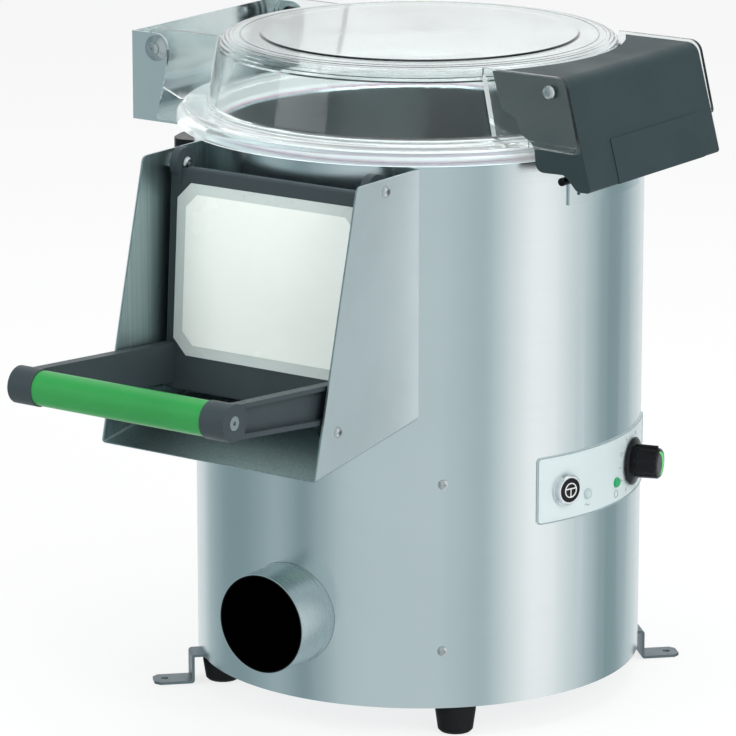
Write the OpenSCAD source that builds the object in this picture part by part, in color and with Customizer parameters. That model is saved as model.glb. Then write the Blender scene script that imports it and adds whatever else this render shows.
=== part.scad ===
// Electric potato peeler with a round stainless casing, a clear hinged lid, a discharge door in a
// folded chute and a belt-driven peeling disc.
// Millimetres, +Z up. The origin is on the casing's axis at floor level. The chute, the door and
// the drain look along -Y, the controls and the lid latch are on the +X side, and the lid hinge
// is on the -X side. Angles round the casing are counted from -Y towards +X.

/* [Casing] */
// Outside diameter of the round casing
case_d = 400; // [340:1:500]
// Height of the casing sheet, bottom edge to top edge
case_h = 480; // [400:1:600]
// Thickness of the casing sheet
case_wall = 1.5; // [1:0.1:3]
// Height of the casing's bottom edge above the floor
foot_h = 27; // [22:1:40]
// Clearance of a pipe, bush or screw in a hole of the sheet
hole_gap = 0.2; // [0.1:0.05:0.5]

/* [Drum] */
// Radial gap between the outside of the casing and the outside of the drum
drum_gap = 22; // [16:1:30]
// Depth of the drum, from the top edge of the casing to its floor
drum_depth = 222; // [190:1:245]
// Thickness of the drum sheet
drum_wall = 1.5; // [1:0.1:3]
// How far the drum's flange stands out past the casing
flange_out = 1.5; // [0.5:0.1:4]
// Thickness of the abrasive lining
liner_t = 3.5; // [2:0.5:6]
// Height of the abrasive lining above the drum floor
liner_h = 118; // [80:1:150]

/* [Peeling disc] */
// Radial gap between the disc and the lining
disc_gap = 3; // [1.5:0.5:6]
// Height of the disc's underside above the drum floor
disc_lift = 12; // [8:1:20]
// Thickness of the disc at its rim
disc_t = 8; // [5:0.5:12]
// Height of the waves on the disc
wave_h = 9; // [4:0.5:14]
// Number of waves on the disc
wave_count = 3; // [2:1:5]

/* [Drive] */
// Diameter of the disc's shaft
shaft_d = 25; // [18:1:30]
// Running clearance of a shaft or screw in its bore, on the radius
run_gap = 0.05; // [0.02:0.01:0.09]
// Distance from the disc's shaft to the motor's shaft
motor_offset = 105; // [98:1:112]
// Diameter of the motor's body
motor_d = 122; // [90:1:130]
// Diameter of the motor's shaft
motor_shaft_d = 14; // [10:1:19]
// Outside diameter of the pulley on the disc's shaft
driven_pulley_d = 150; // [110:1:156]
// Outside diameter of the pulley on the motor's shaft
drive_pulley_d = 47; // [36:1:50]
// Width of the belt
belt_w = 9; // [6:0.5:13]
// Thickness of the belt
belt_t = 5; // [4:0.5:8]
// Height of the drive plate above the casing's bottom edge
plate_lift = 84; // [70:1:100]
// Thickness of the drive plate
plate_t = 4; // [3:0.5:6]

/* [Drain] */
// Outside diameter of the drain pipe
drain_d = 88.9; // [60:0.1:92]
// Wall of the drain pipe
drain_wall = 2; // [1.5:0.1:4]
// Height of the drain's axis above the casing's bottom edge
drain_lift = 76; // [60:1:100]
// How far the drain pipe stands out of the casing
drain_reach = 41; // [25:1:80]
// Radius of the drain's bend, at its axis
drain_bend = 56; // [52:1:70]

/* [Chute] */
// Outside width of the chute
chute_w = 226; // [190:1:260]
// Thickness of the chute sheet
chute_t = 2; // [1.5:0.1:3]
// Height of the chute's side plates at their front
chute_h = 243; // [200:1:260]
// How far the top of the chute stands out of the casing
chute_top_reach = 55; // [40:1:80]
// How far the bottom of the chute stands out of the casing
chute_low_reach = 117; // [90:1:160]
// Slope of the chute's floor
chute_slope = 8.2; // [3:0.1:15]
// Room between the mouth and the chute's plate on each side
mouth_gap = 27; // [24:1:45]
// Inside height of the discharge opening
mouth_h = 152; // [100:1:156]

/* [Door] */
// Distance of the door's hinge in front of the casing
pivot_reach = 15; // [12:0.5:20]
// Drop of the door's hinge below the casing's top edge
pivot_drop = 11.5; // [10:0.5:16]
// Lean of the door, bottom edge forwards
door_lean = 3.8; // [0:0.1:6]
// Gap between the door and the chute's plate on each side
door_gap = 4; // [2:0.5:8]
// Thickness of the door panel
door_t = 8; // [5:0.5:10]
// Height of the door panel
door_h = 196; // [160:1:205]
// Radius of the door's ears
ear_r = 13.5; // [10:0.5:15]
// Distance of the handle's axis in front of the door's hinge
grip_reach = 212; // [170:1:240]
// Drop of the handle's axis below the door's hinge
grip_drop = 154.5; // [130:0.5:170]
// Diameter of the green grip sleeve
grip_d = 30; // [24:0.5:36]
// Gap between the grip sleeve and each arm of the door
grip_gap = 10.5; // [5:0.5:20]
// How far each handle end lies inside the chute's outside
handle_in = 1; // [0:0.5:10]
// Diameter of the screws of the hinges and the handle
screw_d = 6; // [5:0.5:8]

/* [Controls] */
// Angle of the panel's front edge round the casing
panel_start = 65.2; // [62:0.1:68]
// Angle of the panel's rear edge round the casing
panel_end = 122; // [118:0.5:130]
// Height of the panel's lower edge below the drum's bottom
panel_drop = 100; // [80:1:130]
// Height of the panel
panel_h = 60; // [56:1:80]
// Diameter of the push-button's bezel
bezel_d = 29.5; // [28:0.5:34]
// Diameter of the push-button's hole, the usual one for a panel
button_hole_d = 22.3; // [22:0.1:23]
// Travel of the push-button
button_travel = 2.8; // [1.5:0.1:3]
// Diameter of the timer knob's skirt
knob_skirt_d = 43; // [36:1:48]
// Diameter of the timer knob's grip
knob_d = 29; // [20:1:32]
// Length of the timer knob
knob_len = 27; // [18:1:34]
// Diameter of a pilot lamp's lens
lamp_d = 9; // [6:0.5:12]

/* [Lid] */
// Height of the lid's top above the casing's top edge
lid_h = 82; // [70:1:100]
// Wall of the lid
lid_t = 4; // [3:0.5:5]
// How far the lid's rim stands out past the casing
rim_out = 15; // [10:1:20]
// Radius of the raised circle on the lid's top
lid_step_r = 140; // [100:1:145]
// Distance of the lid's hinge outside the casing
hinge_out = 13; // [10:0.5:16]
// Height of the lid's hinge above the casing's top edge
hinge_lift = 59.5; // [54:0.5:66]
// Half the distance over the lid's hinge ears
hinge_ear_y = 100; // [90:0.5:104]

/* [Latch] */
// Half the width of the latch cover
latch_y = 105.5; // [98:0.5:106]
// Wall of the latch cover
latch_t = 3; // [2:0.5:4]
// Distance of the latch's hinge outside the casing
latch_out = 7.6; // [5:0.1:10]
// Height of the latch's hinge above the casing's top edge
latch_lift = 67; // [62:0.5:70]
// Diameter of the keeper rod
rod_d = 7; // [5:0.5:8]

/* [Feet and brackets] */
// Diameter of a rubber foot at its top
foot_d = 36; // [28:1:37]
// Diameter of a rubber foot at the floor
foot_low_d = 31; // [24:1:34]
// Distance of the feet's axes from the casing's outside
foot_inset = 20.4; // [20:0.1:30]
// Thickness of the floor brackets
bracket_t = 2.5; // [2:0.5:4]
// Width of the floor brackets
bracket_w = 24; // [18:1:30]
// Distance of the bracket's hole from the casing's outside
bracket_hole_out = 33; // [26:1:40]
// Diameter of the bracket's hole
bracket_hole_d = 6.5; // [5:0.1:9]

/* [Hidden] */
$fn = 72;
through = 400;

case_r = case_d / 2;
inner_r = case_r - case_wall;
z_base = foot_h;
z_top = foot_h + case_h;
z_rim = z_top + drum_wall;
drum_r = case_r - drum_gap;
drum_in_r = drum_r - drum_wall;
z_pan = z_top - drum_depth;
liner_r = drum_in_r - liner_t;
disc_r = liner_r - disc_gap;
z_disc = z_pan + disc_lift;
z_disc_top = z_disc + disc_t;

base_t = 1.5;
z_base_top = z_base + base_t;
z_plate = z_base + plate_lift;
z_plate_top = z_plate + plate_t;
drain_r = drain_d / 2;
size_step = 1;
pipe_r = drain_r + size_step;
z_drain = z_base + drain_lift;
drain_y = -(case_r - drum_gap - drain_r - 3.5);
post_angles = [40.5, 160.5, 280.5];
post_w = 30;
post_depth = 10;
post_t = 1.5;
post_h = z_pan - z_base - 46;
post_screw_z = [52, post_h - 10];
bolt_len = 16;
post_r = sqrt(pow(inner_r - hole_gap, 2) - pow(post_w / 2, 2));

motor_r = motor_d / 2;
z_motor = z_plate_top;
z_motor_top = z_pan - drum_wall - 6;
fan_cover_h = 26;
shaft_r = shaft_d / 2;
thread_r = shaft_r - 4;
bearing_r = 26;
bearing_h = 15;
housing_r = bearing_r + 7;
z_belt = z_base + 46;
pulley_h = belt_w + 8;
groove_d = belt_t + 2;
belt_gap = 0.5;

door_w = chute_w - 2 * chute_t - 2 * door_gap;
mouth_w = chute_w - 2 * chute_t - 2 * mouth_gap;
pivot_y = -(case_r + pivot_reach);
z_pivot = z_top - pivot_drop;
grip_y = pivot_y - grip_reach;
z_grip = z_pivot - grip_drop;
ear_out_x = chute_w / 2 - chute_t - 7;
ear_in_x = ear_out_x - 8;
ear_drop = 40;
standoff_r = 7.5;
stop_y = pivot_y - 70;
z_stop = z_pivot - 193;
stop_r = 6.3;
gasket_t = 2.5;
door_front = -6.1;
door_rear = door_front + door_t;
mouth_top = z_top - 40;
mouth_low = mouth_top - mouth_h;
frame_t = 1.5;
frame_land = 8;
arm_out_x = chute_w / 2 - chute_t - 3;
arm_t = 10;
grip_w = 2 * (arm_out_x - arm_t - grip_gap);
handle_w = chute_w - 2 * handle_in;
label_border = 8;
handle_r = grip_d / 2 + 1;

panel_t = 1.2;
panel_r = case_r + panel_t;
button_angle = 74;
z_panel = z_pan - panel_drop;
button_z = z_panel + 28.4;
power_angle = 81.6;
run_angle = 94.4;
lamp_z = z_panel + 19;
timer_angle = 104.1;
timer_z = z_panel + 30.3;
timer_shaft_d = 6;

rim_r = case_r + rim_out;
foot_wall_r = case_r - 13;
dome_r = case_r - 23;
shoulder_r = 14;
z_lid = z_top + lid_h;
seal_r = case_r - 15;
hinge_x = -(case_r + hinge_out);
z_hinge = z_top + hinge_lift;
hinge_ear_t = 4;
bracket_y = hinge_ear_y + 4;
bracket_x = hinge_x - 27;
bracket_sheet = 2;
skirt_h = 16;
z_bracket = z_top - 7;
latch_x = case_r + latch_out;
z_latch = z_top + latch_lift;
latch_ear_y = latch_y + 1;
latch_ear_t = 4;
screw_r = screw_d / 2;
latch_top = z_top + 78.5;
latch_low = z_top - 16.5;
latch_shoulder_x = case_r + 21.5;
latch_low_x = case_r + 47;
latch_arc_r = dome_r + 5;
by_rim_x = sqrt(pow(rim_r, 2) - pow(latch_y - latch_t, 2)) + 0.5;
rod_x = case_r + 17.5;
z_rod = z_top - 9.7;
rod_gap = 1.3;
hook_y = 66;
hook_t = 4;

inlet_angle = 228;
inlet_z = z_pan - 53;
inlet_d = 26.4;
relay_angle = 112;
gland_angle = 170;
gland_z = z_pan - 53;
gland_bore_d = 9;
hose_d = 10;
hose_r = (drum_r + inner_r) / 2;
nozzle_z = z_pan + liner_h + 36;

// ---------- helpers ----------

function unit(v) = v / norm(v);

// The points of one rounded corner b between its neighbours a and c
function corner_arc(a, b, c, r, n) =
    r <= 0 ? [b] :
    let (
        u = unit(a - b),
        v = unit(c - b),
        half = acos(u * v) / 2,
        p = b + u * r / tan(half),
        q = b + v * r / tan(half),
        m = b + unit(u + v) * r / sin(half),
        start = atan2(p[1] - m[1], p[0] - m[0]),
        turn = atan2(q[1] - m[1], q[0] - m[0]) - start,
        sweep = turn > 180 ? turn - 360 : (turn < -180 ? turn + 360 : turn)
    )
    [for (i = [0:n]) m + r * [cos(start + sweep * i / n), sin(start + sweep * i / n)]];

function xy(p) = [p[0], p[1]];

// An outline whose corners [x, y, radius] are rounded
function rounded(pts, n = 6) = [
    for (i = [0:len(pts) - 1])
        each corner_arc(xy(pts[(i + len(pts) - 1) % len(pts)]), xy(pts[i]),
                        xy(pts[(i + 1) % len(pts)]), pts[i][2], n)
];

module tube(r_out, r_in, h) {
    difference() {
        cylinder(r = r_out, h = h);
        translate([0, 0, -1]) cylinder(r = r_in, h = h + 2);
    }
}

// Children are drawn with +Z pointing out of the casing, at an angle and a height on it
module on_case(angle, z, r = case_r) {
    rotate([0, 0, angle]) translate([0, -r, z]) rotate([90, 0, 0]) children();
}

// Outlines drawn in X and Z, extruded along Y from y0 to y1
module slab_y(y0, y1) {
    translate([0, y1, 0]) rotate([90, 0, 0]) linear_extrude(y1 - y0) children();
}

// Outlines drawn in Y and Z, extruded along X from x0 to x1
module slab_x(x0, x1) {
    translate([x0, 0, 0]) rotate([90, 0, 90]) linear_extrude(x1 - x0) children();
}

// The same piece on both sides of the plane Y = 0
module both_y() {
    children();
    mirror([0, 1, 0]) children();
}

// The same piece on both sides of the plane X = 0
module both_x() {
    children();
    mirror([1, 0, 0]) children();
}

// Button head with a hex socket, standing on z = 0
module socket_head(r, h, socket_d = 4) {
    difference() {
        rotate_extrude() polygon([[0, 0], [r, 0], [r, h * 0.3], [r * 0.86, h * 0.72],
                                  [r * 0.6, h], [0, h]]);
        translate([0, 0, h * 0.35]) cylinder(d = socket_d, h = h, $fn = 6);
    }
}

// ---------- casing and base ----------

module outer_casing() {
    color("silver")
    difference() {
        translate([0, 0, z_base]) tube(case_r, inner_r, case_h);
        slab_y(-case_r - 1, -case_r / 2) translate([-mouth_w / 2 - frame_t - hole_gap,
            mouth_low - frame_t - hole_gap])
            square([mouth_w + 2 * (frame_t + hole_gap), mouth_h + 2 * (frame_t + hole_gap)]);
        translate([0, -case_r / 2, z_drain]) rotate([90, 0, 0])
            cylinder(r = pipe_r + hole_gap, h = through);
        for (a = post_angles, z = post_screw_z)
            on_case(a, z_base + z, inner_r - 1) cylinder(r = 2.2, h = 4);
        on_case(button_angle, button_z, inner_r - 6) cylinder(d = button_hole_d, h = 12);
        for (a = [power_angle, run_angle])
            on_case(a, lamp_z, inner_r - 6) cylinder(d = lamp_d - 2 + 2 * hole_gap, h = 12);
        on_case(timer_angle, timer_z, inner_r - 6) cylinder(d = timer_shaft_d + 2, h = 12);
        on_case(inlet_angle, inlet_z, inner_r - 6) cylinder(d = inlet_d - 6, h = 12);
        on_case(gland_angle, gland_z, inner_r - 6) cylinder(d = 16 + 2 * hole_gap, h = 12);
    }
}

module base_plate() {
    slot_w = 5;
    slot_l = 46;
    color("lightgray")
    difference() {
        translate([0, 0, z_base]) cylinder(r = inner_r - hole_gap, h = base_t);
        for (a = [45:90:315])
            rotate([0, 0, a]) translate([case_r - foot_inset, 0, z_base - 1])
                cylinder(r = 4.2, h = base_t + 2);
        for (side = [-1, 1], row = [0:5])
            translate([side * 70 - slot_l / 2, 40 + row * 14, z_base - 1])
                cube([slot_l, slot_w, base_t + 2]);
    }
}

module support_posts() {
    color("gainsboro")
    for (a = post_angles)
        rotate([0, 0, a]) translate([0, -post_r, z_base_top]) difference() {
            translate([-post_w / 2, 0, 0]) cube([post_w, post_depth, post_h]);
            translate([-post_w / 2 + post_t, post_t, -1])
                cube([post_w - 2 * post_t, post_depth, post_h + 2]);
            for (z = post_screw_z)
                translate([0, -1, z - base_t]) rotate([-90, 0, 0]) cylinder(r = 2.2, h = 4);
        }
}

module casing_screws() {
    color("dimgray")
    for (a = post_angles, z = post_screw_z)
        on_case(a, z_base + z) {
            difference() {
                rotate_extrude() polygon([[0, 0], [4.5, 0], [4.2, 1.2], [2.6, 2.3], [0, 2.6]]);
                for (turn = [0, 90])
                    rotate([0, 0, turn]) translate([-2.6, -0.4, 1.4]) cube([5.2, 0.8, 2]);
            }
            translate([0, 0, -8]) cylinder(r = 2.1, h = 8);
        }
}

module rubber_feet() {
    color("#202224")
    for (a = [45:90:315]) {
        top = z_base - (a == 45 || a == 225 ? bracket_t : 0);
        rotate([0, 0, a]) translate([case_r - foot_inset, 0, 0]) difference() {
            rotate_extrude() polygon([[0, 0], [foot_low_d / 2 - 2, 0], [foot_low_d / 2, 2],
                                      [foot_d / 2, top - 7], [foot_d / 2, top], [0, top]]);
            translate([0, 0, z_base - bolt_len - 1]) cylinder(r = 4.1, h = bolt_len + 2);
            translate([0, 0, -1]) cylinder(r = 6, h = 4);
        }
    }
}

module foot_bolts() {
    color("gray")
    for (a = [45:90:315])
        rotate([0, 0, a]) translate([case_r - foot_inset, 0, 0]) {
            translate([0, 0, z_base_top]) cylinder(r = 6.8, h = 5, $fn = 6);
            translate([0, 0, z_base - bolt_len]) cylinder(r = 4, h = bolt_len + base_t);
        }
}

module floor_brackets() {
    web_r = case_r + 9.5;
    end_r = case_r + 43;
    color("lightgray")
    for (a = [45, 225])
        rotate([0, 0, a]) difference() {
            slab_y(-bracket_w / 2, bracket_w / 2)
                polygon(rounded([
                    [case_r - foot_inset - 12, z_base, 0], [web_r, z_base, 3],
                    [web_r, bracket_t, 0.5], [end_r, bracket_t, 0], [end_r, 0, 0],
                    [web_r - bracket_t, 0, 3], [web_r - bracket_t, z_base - bracket_t, 0.5],
                    [case_r - foot_inset - 12, z_base - bracket_t, 0]]));
            translate([case_r - foot_inset, 0, z_base - bracket_t - 1])
                cylinder(r = 4.2, h = bracket_t + 2);
            translate([case_r + bracket_hole_out, 0, -1])
                cylinder(d = bracket_hole_d, h = bracket_t + 2);
            for (s = [-1, 1])
                translate([end_r, s * bracket_w / 2, -1]) rotate([0, 0, 45])
                    cube([7, 7, 10], center = true);
        }
}

// ---------- drum and discharge ----------

module peeling_drum() {
    color("silver")
    difference() {
        rotate_extrude() polygon([
            [drum_in_r, z_pan], [drum_r, z_pan], [drum_r, z_top],
            [case_r + flange_out, z_top], [case_r + flange_out, z_rim], [drum_r, z_rim],
            [drum_in_r, z_rim - drum_wall]]);
        slab_y(-case_r, -case_r / 2) translate([-mouth_w / 2, mouth_low])
            square([mouth_w, mouth_h]);
        on_case(inlet_angle, nozzle_z, drum_in_r - 3) cylinder(d = hose_d + 2 * hole_gap, h = 8);
    }
}

// Bottom of the drum, with the shaft's collar hole and the drain hole
module drum_pan() {
    color("silver")
    difference() {
        translate([0, 0, z_pan - drum_wall]) cylinder(r = drum_r, h = drum_wall);
        translate([0, 0, z_pan - 5]) cylinder(r = shaft_r + 9, h = 10);
        translate([0, drain_y, z_pan - 5]) cylinder(r = pipe_r - drain_wall, h = 10);
    }
}

module abrasive_liner() {
    half_gap = asin((mouth_w / 2 + 2) / drum_in_r);
    color("#8d8f8a")
    rotate([0, 0, -90 + half_gap]) rotate_extrude(angle = 360 - 2 * half_gap)
        polygon([[liner_r, z_pan + 4], [drum_in_r, z_pan + 4], [drum_in_r, z_pan + liner_h],
                 [liner_r + 2, z_pan + liner_h], [liner_r, z_pan + liner_h - 3]]);
}

// Half-space in front of the leaning sealing face of the discharge frame
module in_front_of_land(offset) {
    translate([0, pivot_y, z_pivot]) rotate([-door_lean, 0, 0])
        translate([-through, door_rear + offset - through, -through])
            cube([2 * through, through, 2 * through]);
}

module discharge_frame() {
    w = mouth_w + 2 * frame_t;
    h = mouth_h + 2 * frame_t;
    color("silver")
    difference() {
        union() {
            slab_y(pivot_y - 40, -drum_r * cos(asin(mouth_w / 2 / drum_r)) + 3)
                translate([-w / 2, mouth_low - frame_t]) square([w, h]);
            intersection() {
                slab_y(pivot_y - 40, -case_r) translate([-w / 2 - frame_land,
                    mouth_low - frame_t - frame_land])
                    square([w + 2 * frame_land, h + 2 * frame_land]);
                in_front_of_land(gasket_t + frame_t);
            }
        }
        slab_y(pivot_y - 60, 0) translate([-mouth_w / 2, mouth_low]) square([mouth_w, mouth_h]);
        cylinder(r = drum_r, h = z_top);
        in_front_of_land(gasket_t);
    }
}

module discharge_chute() {
    half = chute_w / 2;
    back_y = -sqrt(pow(case_r, 2) - pow(half, 2)) + 6;
    low_y = -(case_r + chute_low_reach);
    z_low = z_top - chute_h;
    rise = (back_y - low_y) * tan(chute_slope);
    bend = 5;
    color("silver")
    difference() {
        intersection() {
            slab_x(-half, half) polygon(rounded([
                [back_y, z_top - 1, 0], [-(case_r + chute_top_reach), z_top - 1, 6],
                [low_y, z_low, 3], [back_y, z_low + rise, 0]]));
            translate([0, low_y, z_low]) rotate([chute_slope, 0, 0]) slab_y(-through, through)
                difference() {
                    polygon(rounded([[-half, 0, bend], [half, 0, bend],
                                     [half, through, 0], [-half, through, 0]]));
                    polygon(rounded([[-half + chute_t, chute_t, bend - chute_t],
                                     [half - chute_t, chute_t, bend - chute_t],
                                     [half - chute_t, through + 1, 0],
                                     [-half + chute_t, through + 1, 0]]));
                }
        }
        cylinder(r = case_r + hole_gap, h = through * 2);
        both_x() translate([half, pivot_y, z_pivot]) rotate([0, 90, 0])
            cylinder(r = screw_r + hole_gap, h = 20, center = true);
        both_x() translate([half, stop_y, z_stop]) rotate([0, 90, 0])
            cylinder(r = 2.5 + hole_gap, h = 20, center = true);
    }
}

module chute_screws() {
    half = chute_w / 2;
    color("gainsboro")
    both_x() {
        translate([half, pivot_y, z_pivot]) rotate([0, 90, 0]) {
            socket_head(5.2, 3.2);
            translate([0, 0, -chute_t - 3]) cylinder(r = screw_r, h = chute_t + 3);
        }
        translate([half, stop_y, z_stop]) rotate([0, 90, 0]) {
            socket_head(4.8, 3, 3.4);
            translate([0, 0, -chute_t - 5]) cylinder(r = 2.5, h = chute_t + 5);
        }
    }
}

// Hex standoffs on the chute's plates with the screws that the door's ears turn on
module hinge_standoffs() {
    half = chute_w / 2;
    color("gainsboro")
    both_x() difference() {
        translate([0, pivot_y, z_pivot]) rotate([0, 90, 0]) {
            translate([0, 0, ear_out_x + 0.3])
                cylinder(r = standoff_r, h = half - chute_t - ear_out_x - 0.3, $fn = 6);
            translate([0, 0, ear_in_x - 0.3]) cylinder(r = screw_r, h = 10);
            translate([0, 0, ear_in_x - 0.3]) mirror([0, 0, 1]) socket_head(5.4, 3.2);
        }
        translate([0, pivot_y, z_pivot]) rotate([0, 90, 0])
            translate([0, 0, half - chute_t - 3]) cylinder(r = screw_r, h = 10);
    }
}

module door_stops() {
    half = chute_w / 2;
    color("#202224")
    both_x() translate([half - chute_t - 14, stop_y, z_stop]) rotate([0, 90, 0]) difference() {
        cylinder(r = stop_r, h = 14);
        translate([0, 0, 9]) cylinder(r = 2.5, h = 10);
    }
}

module drain_pipe() {
    straight = case_r + drain_reach + drain_y - drain_bend;
    sized = drain_reach - 1.2;
    color("silver")
    translate([0, drain_y - drain_bend, z_drain]) rotate([90, 0, 0]) difference() {
        union() {
            cylinder(r = drain_r, h = straight);
            cylinder(r = pipe_r, h = straight - sized);
        }
        translate([0, 0, -1]) cylinder(r = pipe_r - drain_wall, h = straight - sized);
        translate([0, 0, -1]) cylinder(r = drain_r - drain_wall, h = straight + 2);
    }
}

// Bend inside the casing with the riser to the drum's bottom
module drain_elbow() {
    rise = z_pan - drum_wall - z_drain - drain_bend;
    color("silver")
    difference() {
        union() {
            translate([0, drain_y - drain_bend, z_drain + drain_bend]) rotate([0, 0, 90])
                rotate([-90, 0, 0]) rotate_extrude(angle = 90)
                translate([drain_bend, 0]) circle(r = pipe_r);
            translate([0, drain_y, z_drain + drain_bend]) cylinder(r = pipe_r, h = rise);
        }
        translate([0, drain_y - drain_bend, z_drain + drain_bend]) rotate([0, 0, 90])
            rotate([-90, 0, 0]) rotate_extrude(angle = 91)
            translate([drain_bend, 0]) circle(r = pipe_r - drain_wall);
        translate([0, drain_y, z_drain + drain_bend])
            cylinder(r = pipe_r - drain_wall, h = through);
    }
}

// ---------- lid hinge, keeper and interlock on the casing ----------

module hinge_bracket() {
    plate_h = 80;
    ear_round = 13.5;
    color("silver")
    difference() {
        union() {
            translate([bracket_x, -bracket_y, z_bracket])
                cube([bracket_sheet, 2 * bracket_y, plate_h]);
            both_y() slab_y(-bracket_y, -bracket_y + bracket_sheet) polygon(rounded([
                [bracket_x, z_bracket, 4], [bracket_x, z_bracket + plate_h, 0],
                [hinge_x + ear_round, z_bracket + plate_h, ear_round - 1],
                [hinge_x + ear_round - 2, z_hinge - 12, 4],
                [hinge_x - 1, z_bracket, 0]]));
            difference() {
                translate([bracket_x, -bracket_y, z_bracket])
                    cube([-bracket_x - case_r / 2, 2 * bracket_y, bracket_sheet]);
                cylinder(r = case_r + hole_gap, h = through * 2);
                both_y() slab_y(-bracket_y - 1, -bracket_y / 2 - 12) polygon([
                    [hinge_x + 22, z_bracket - 1], [0, z_bracket - 1],
                    [0, z_bracket + 9], [hinge_x + 22, z_bracket + 9]]);
            }
            intersection() {
                translate([0, 0, z_bracket - skirt_h])
                    tube(case_r + hole_gap + bracket_sheet, case_r + hole_gap, skirt_h + bracket_sheet);
                translate([-case_r - 20, -58, 0]) cube([60, 116, through * 2]);
            }
        }
        both_y() translate([hinge_x, -bracket_y, z_hinge]) rotate([90, 0, 0])
            cylinder(r = screw_r + hole_gap, h = 20, center = true);
    }
}

// Screws that the lid's ears turn on, each with a conical washer outside and a nut inside
module hinge_screws() {
    color("gainsboro")
    both_y() translate([hinge_x, -bracket_y, z_hinge]) rotate([90, 0, 0]) {
        rotate_extrude() polygon([[0, 0], [11.7, 0], [11.7, 1], [6.5, 4], [0, 4]]);
        translate([0, 0, 4]) socket_head(5.4, 2.6);
        translate([0, 0, -14]) cylinder(r = screw_r, h = 14);
        translate([0, 0, -14]) cylinder(r = 5.6, h = 5, $fn = 6);
    }
}

module latch_keeper() {
    arm_y = 44;
    arm_t = 3;
    color("silver") {
        difference() {
            intersection() {
                translate([0, 0, z_rod - 32])
                    tube(case_r + hole_gap + 2, case_r + hole_gap, 38);
                translate([case_r - 20, -arm_y - 12, 0]) cube([60, 2 * arm_y + 24, through * 2]);
            }
            for (s = [-1, 1], z = [-22])
                rotate([0, 0, s * 13]) translate([case_r, 0, z_rod + z]) rotate([0, 90, 0])
                    cylinder(r = 2.2, h = 12, center = true);
        }
        both_y() difference() {
            slab_y(-arm_y - arm_t, -arm_y) polygon(rounded([
                [case_r - 7, z_rod - 18, 0], [rod_x + 6, z_rod - 5, 5],
                [rod_x + 6, z_rod + 6, 5], [case_r - 7, z_rod + 6, 0]]));
            cylinder(r = case_r + hole_gap + 1, h = through * 2);
        }
        translate([rod_x, latch_y, z_rod]) rotate([90, 0, 0])
            cylinder(d = rod_d, h = 2 * latch_y);
    }
}

// Rounded housing of the lid's safety switch, low on the hinge side
module interlock_box() {
    box_h = 44;
    color("#18191b")
    difference() {
        rotate([0, 0, -72]) translate([-24, -(case_r + 26), z_bracket - skirt_h - 1 - box_h])
            linear_extrude(box_h) polygon(rounded([
                [0, 0, 20], [48, 0, 14], [48, 40, 0], [0, 40, 0]]));
        cylinder(r = case_r + hole_gap, h = through * 2);
    }
}

// ---------- controls ----------

module control_panel() {
    corner = 5;
    color("#d9dcdb")
    difference() {
        translate([0, 0, z_panel]) rotate([0, 0, -90 + panel_start])
            rotate_extrude(angle = panel_end - panel_start)
            translate([case_r, 0]) square([panel_t, panel_h]);
        for (a = [panel_start - 0.12, panel_end + 0.12], z = [-0.4, panel_h + 0.4])
            on_case(a, z_panel + z, inner_r - 2) rotate([0, 0, 45])
                translate([0, 0, 4]) cube([corner, corner, 12], center = true);
        on_case(button_angle, button_z, inner_r) cylinder(d = button_hole_d, h = 12);
        for (a = [power_angle, run_angle])
            on_case(a, lamp_z, inner_r) cylinder(d = lamp_d - 2 + 2 * hole_gap, h = 12);
        on_case(timer_angle, timer_z, inner_r) cylinder(d = timer_shaft_d + 2, h = 12);
    }
}

bezel_h = 6;
barrel_r = button_hole_d / 2 - hole_gap;
cap_r = bezel_d / 2 - 4.2;

module button_bezel() {
    color("gainsboro")
    on_case(button_angle, button_z, panel_r) difference() {
        union() {
            rotate_extrude() polygon([[0, 0], [bezel_d / 2, 0], [bezel_d / 2, 2],
                                      [bezel_d / 2 - 1.5, bezel_h - 1],
                                      [bezel_d / 2 - 2.6, bezel_h], [0, bezel_h]]);
            translate([0, 0, -26]) cylinder(r = barrel_r, h = 27);
            translate([0, 0, -panel_t - case_wall - 6]) cylinder(r = 15.5, h = 4.5, $fn = 6);
        }
        translate([0, 0, 1]) cylinder(r = cap_r + 0.4, h = bezel_h);
        translate([0, 0, -27]) cylinder(r = barrel_r - 1.8, h = 40);
    }
}

module pulse_button() {
    color("#1b1c1e")
    on_case(button_angle, button_z, panel_r) {
        translate([0, 0, 1 + button_travel + 0.2]) rotate_extrude()
            polygon([[0, 0], [cap_r, 0], [cap_r, 1.6], [cap_r - 0.8, 2.4], [0, 2.7]]);
        translate([0, 0, -22.8]) cylinder(r = barrel_r - 2.4, h = 25 + button_travel);
    }
}

module switch_block() {
    color("#2a2c2e")
    on_case(button_angle, button_z, panel_r) {
        translate([-15, -20, -58]) cube([30, 40, 32]);
        for (x = [-9, 9], y = [-24, 20])
            translate([x - 3, y, -52]) cube([6, 4, 12]);
    }
}

module pilot_lamp() {
    rotate_extrude() polygon([[0, 0], [lamp_d / 2, 0], [lamp_d / 2, 1.2],
                              [lamp_d / 2 - 1, 2.6], [lamp_d / 2 - 2.6, 3.6], [0, 4]]);
    translate([0, 0, -24]) cylinder(d = lamp_d - 2, h = 24);
    translate([0, 0, -panel_t - case_wall - 5]) cylinder(d = lamp_d + 4, h = 3.5, $fn = 6);
}

module power_lamp() {
    color("#e8ecee") on_case(power_angle, lamp_z, panel_r) pilot_lamp();
}

module run_lamp() {
    color("#16a65a") on_case(run_angle, lamp_z, panel_r) pilot_lamp();
}

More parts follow.
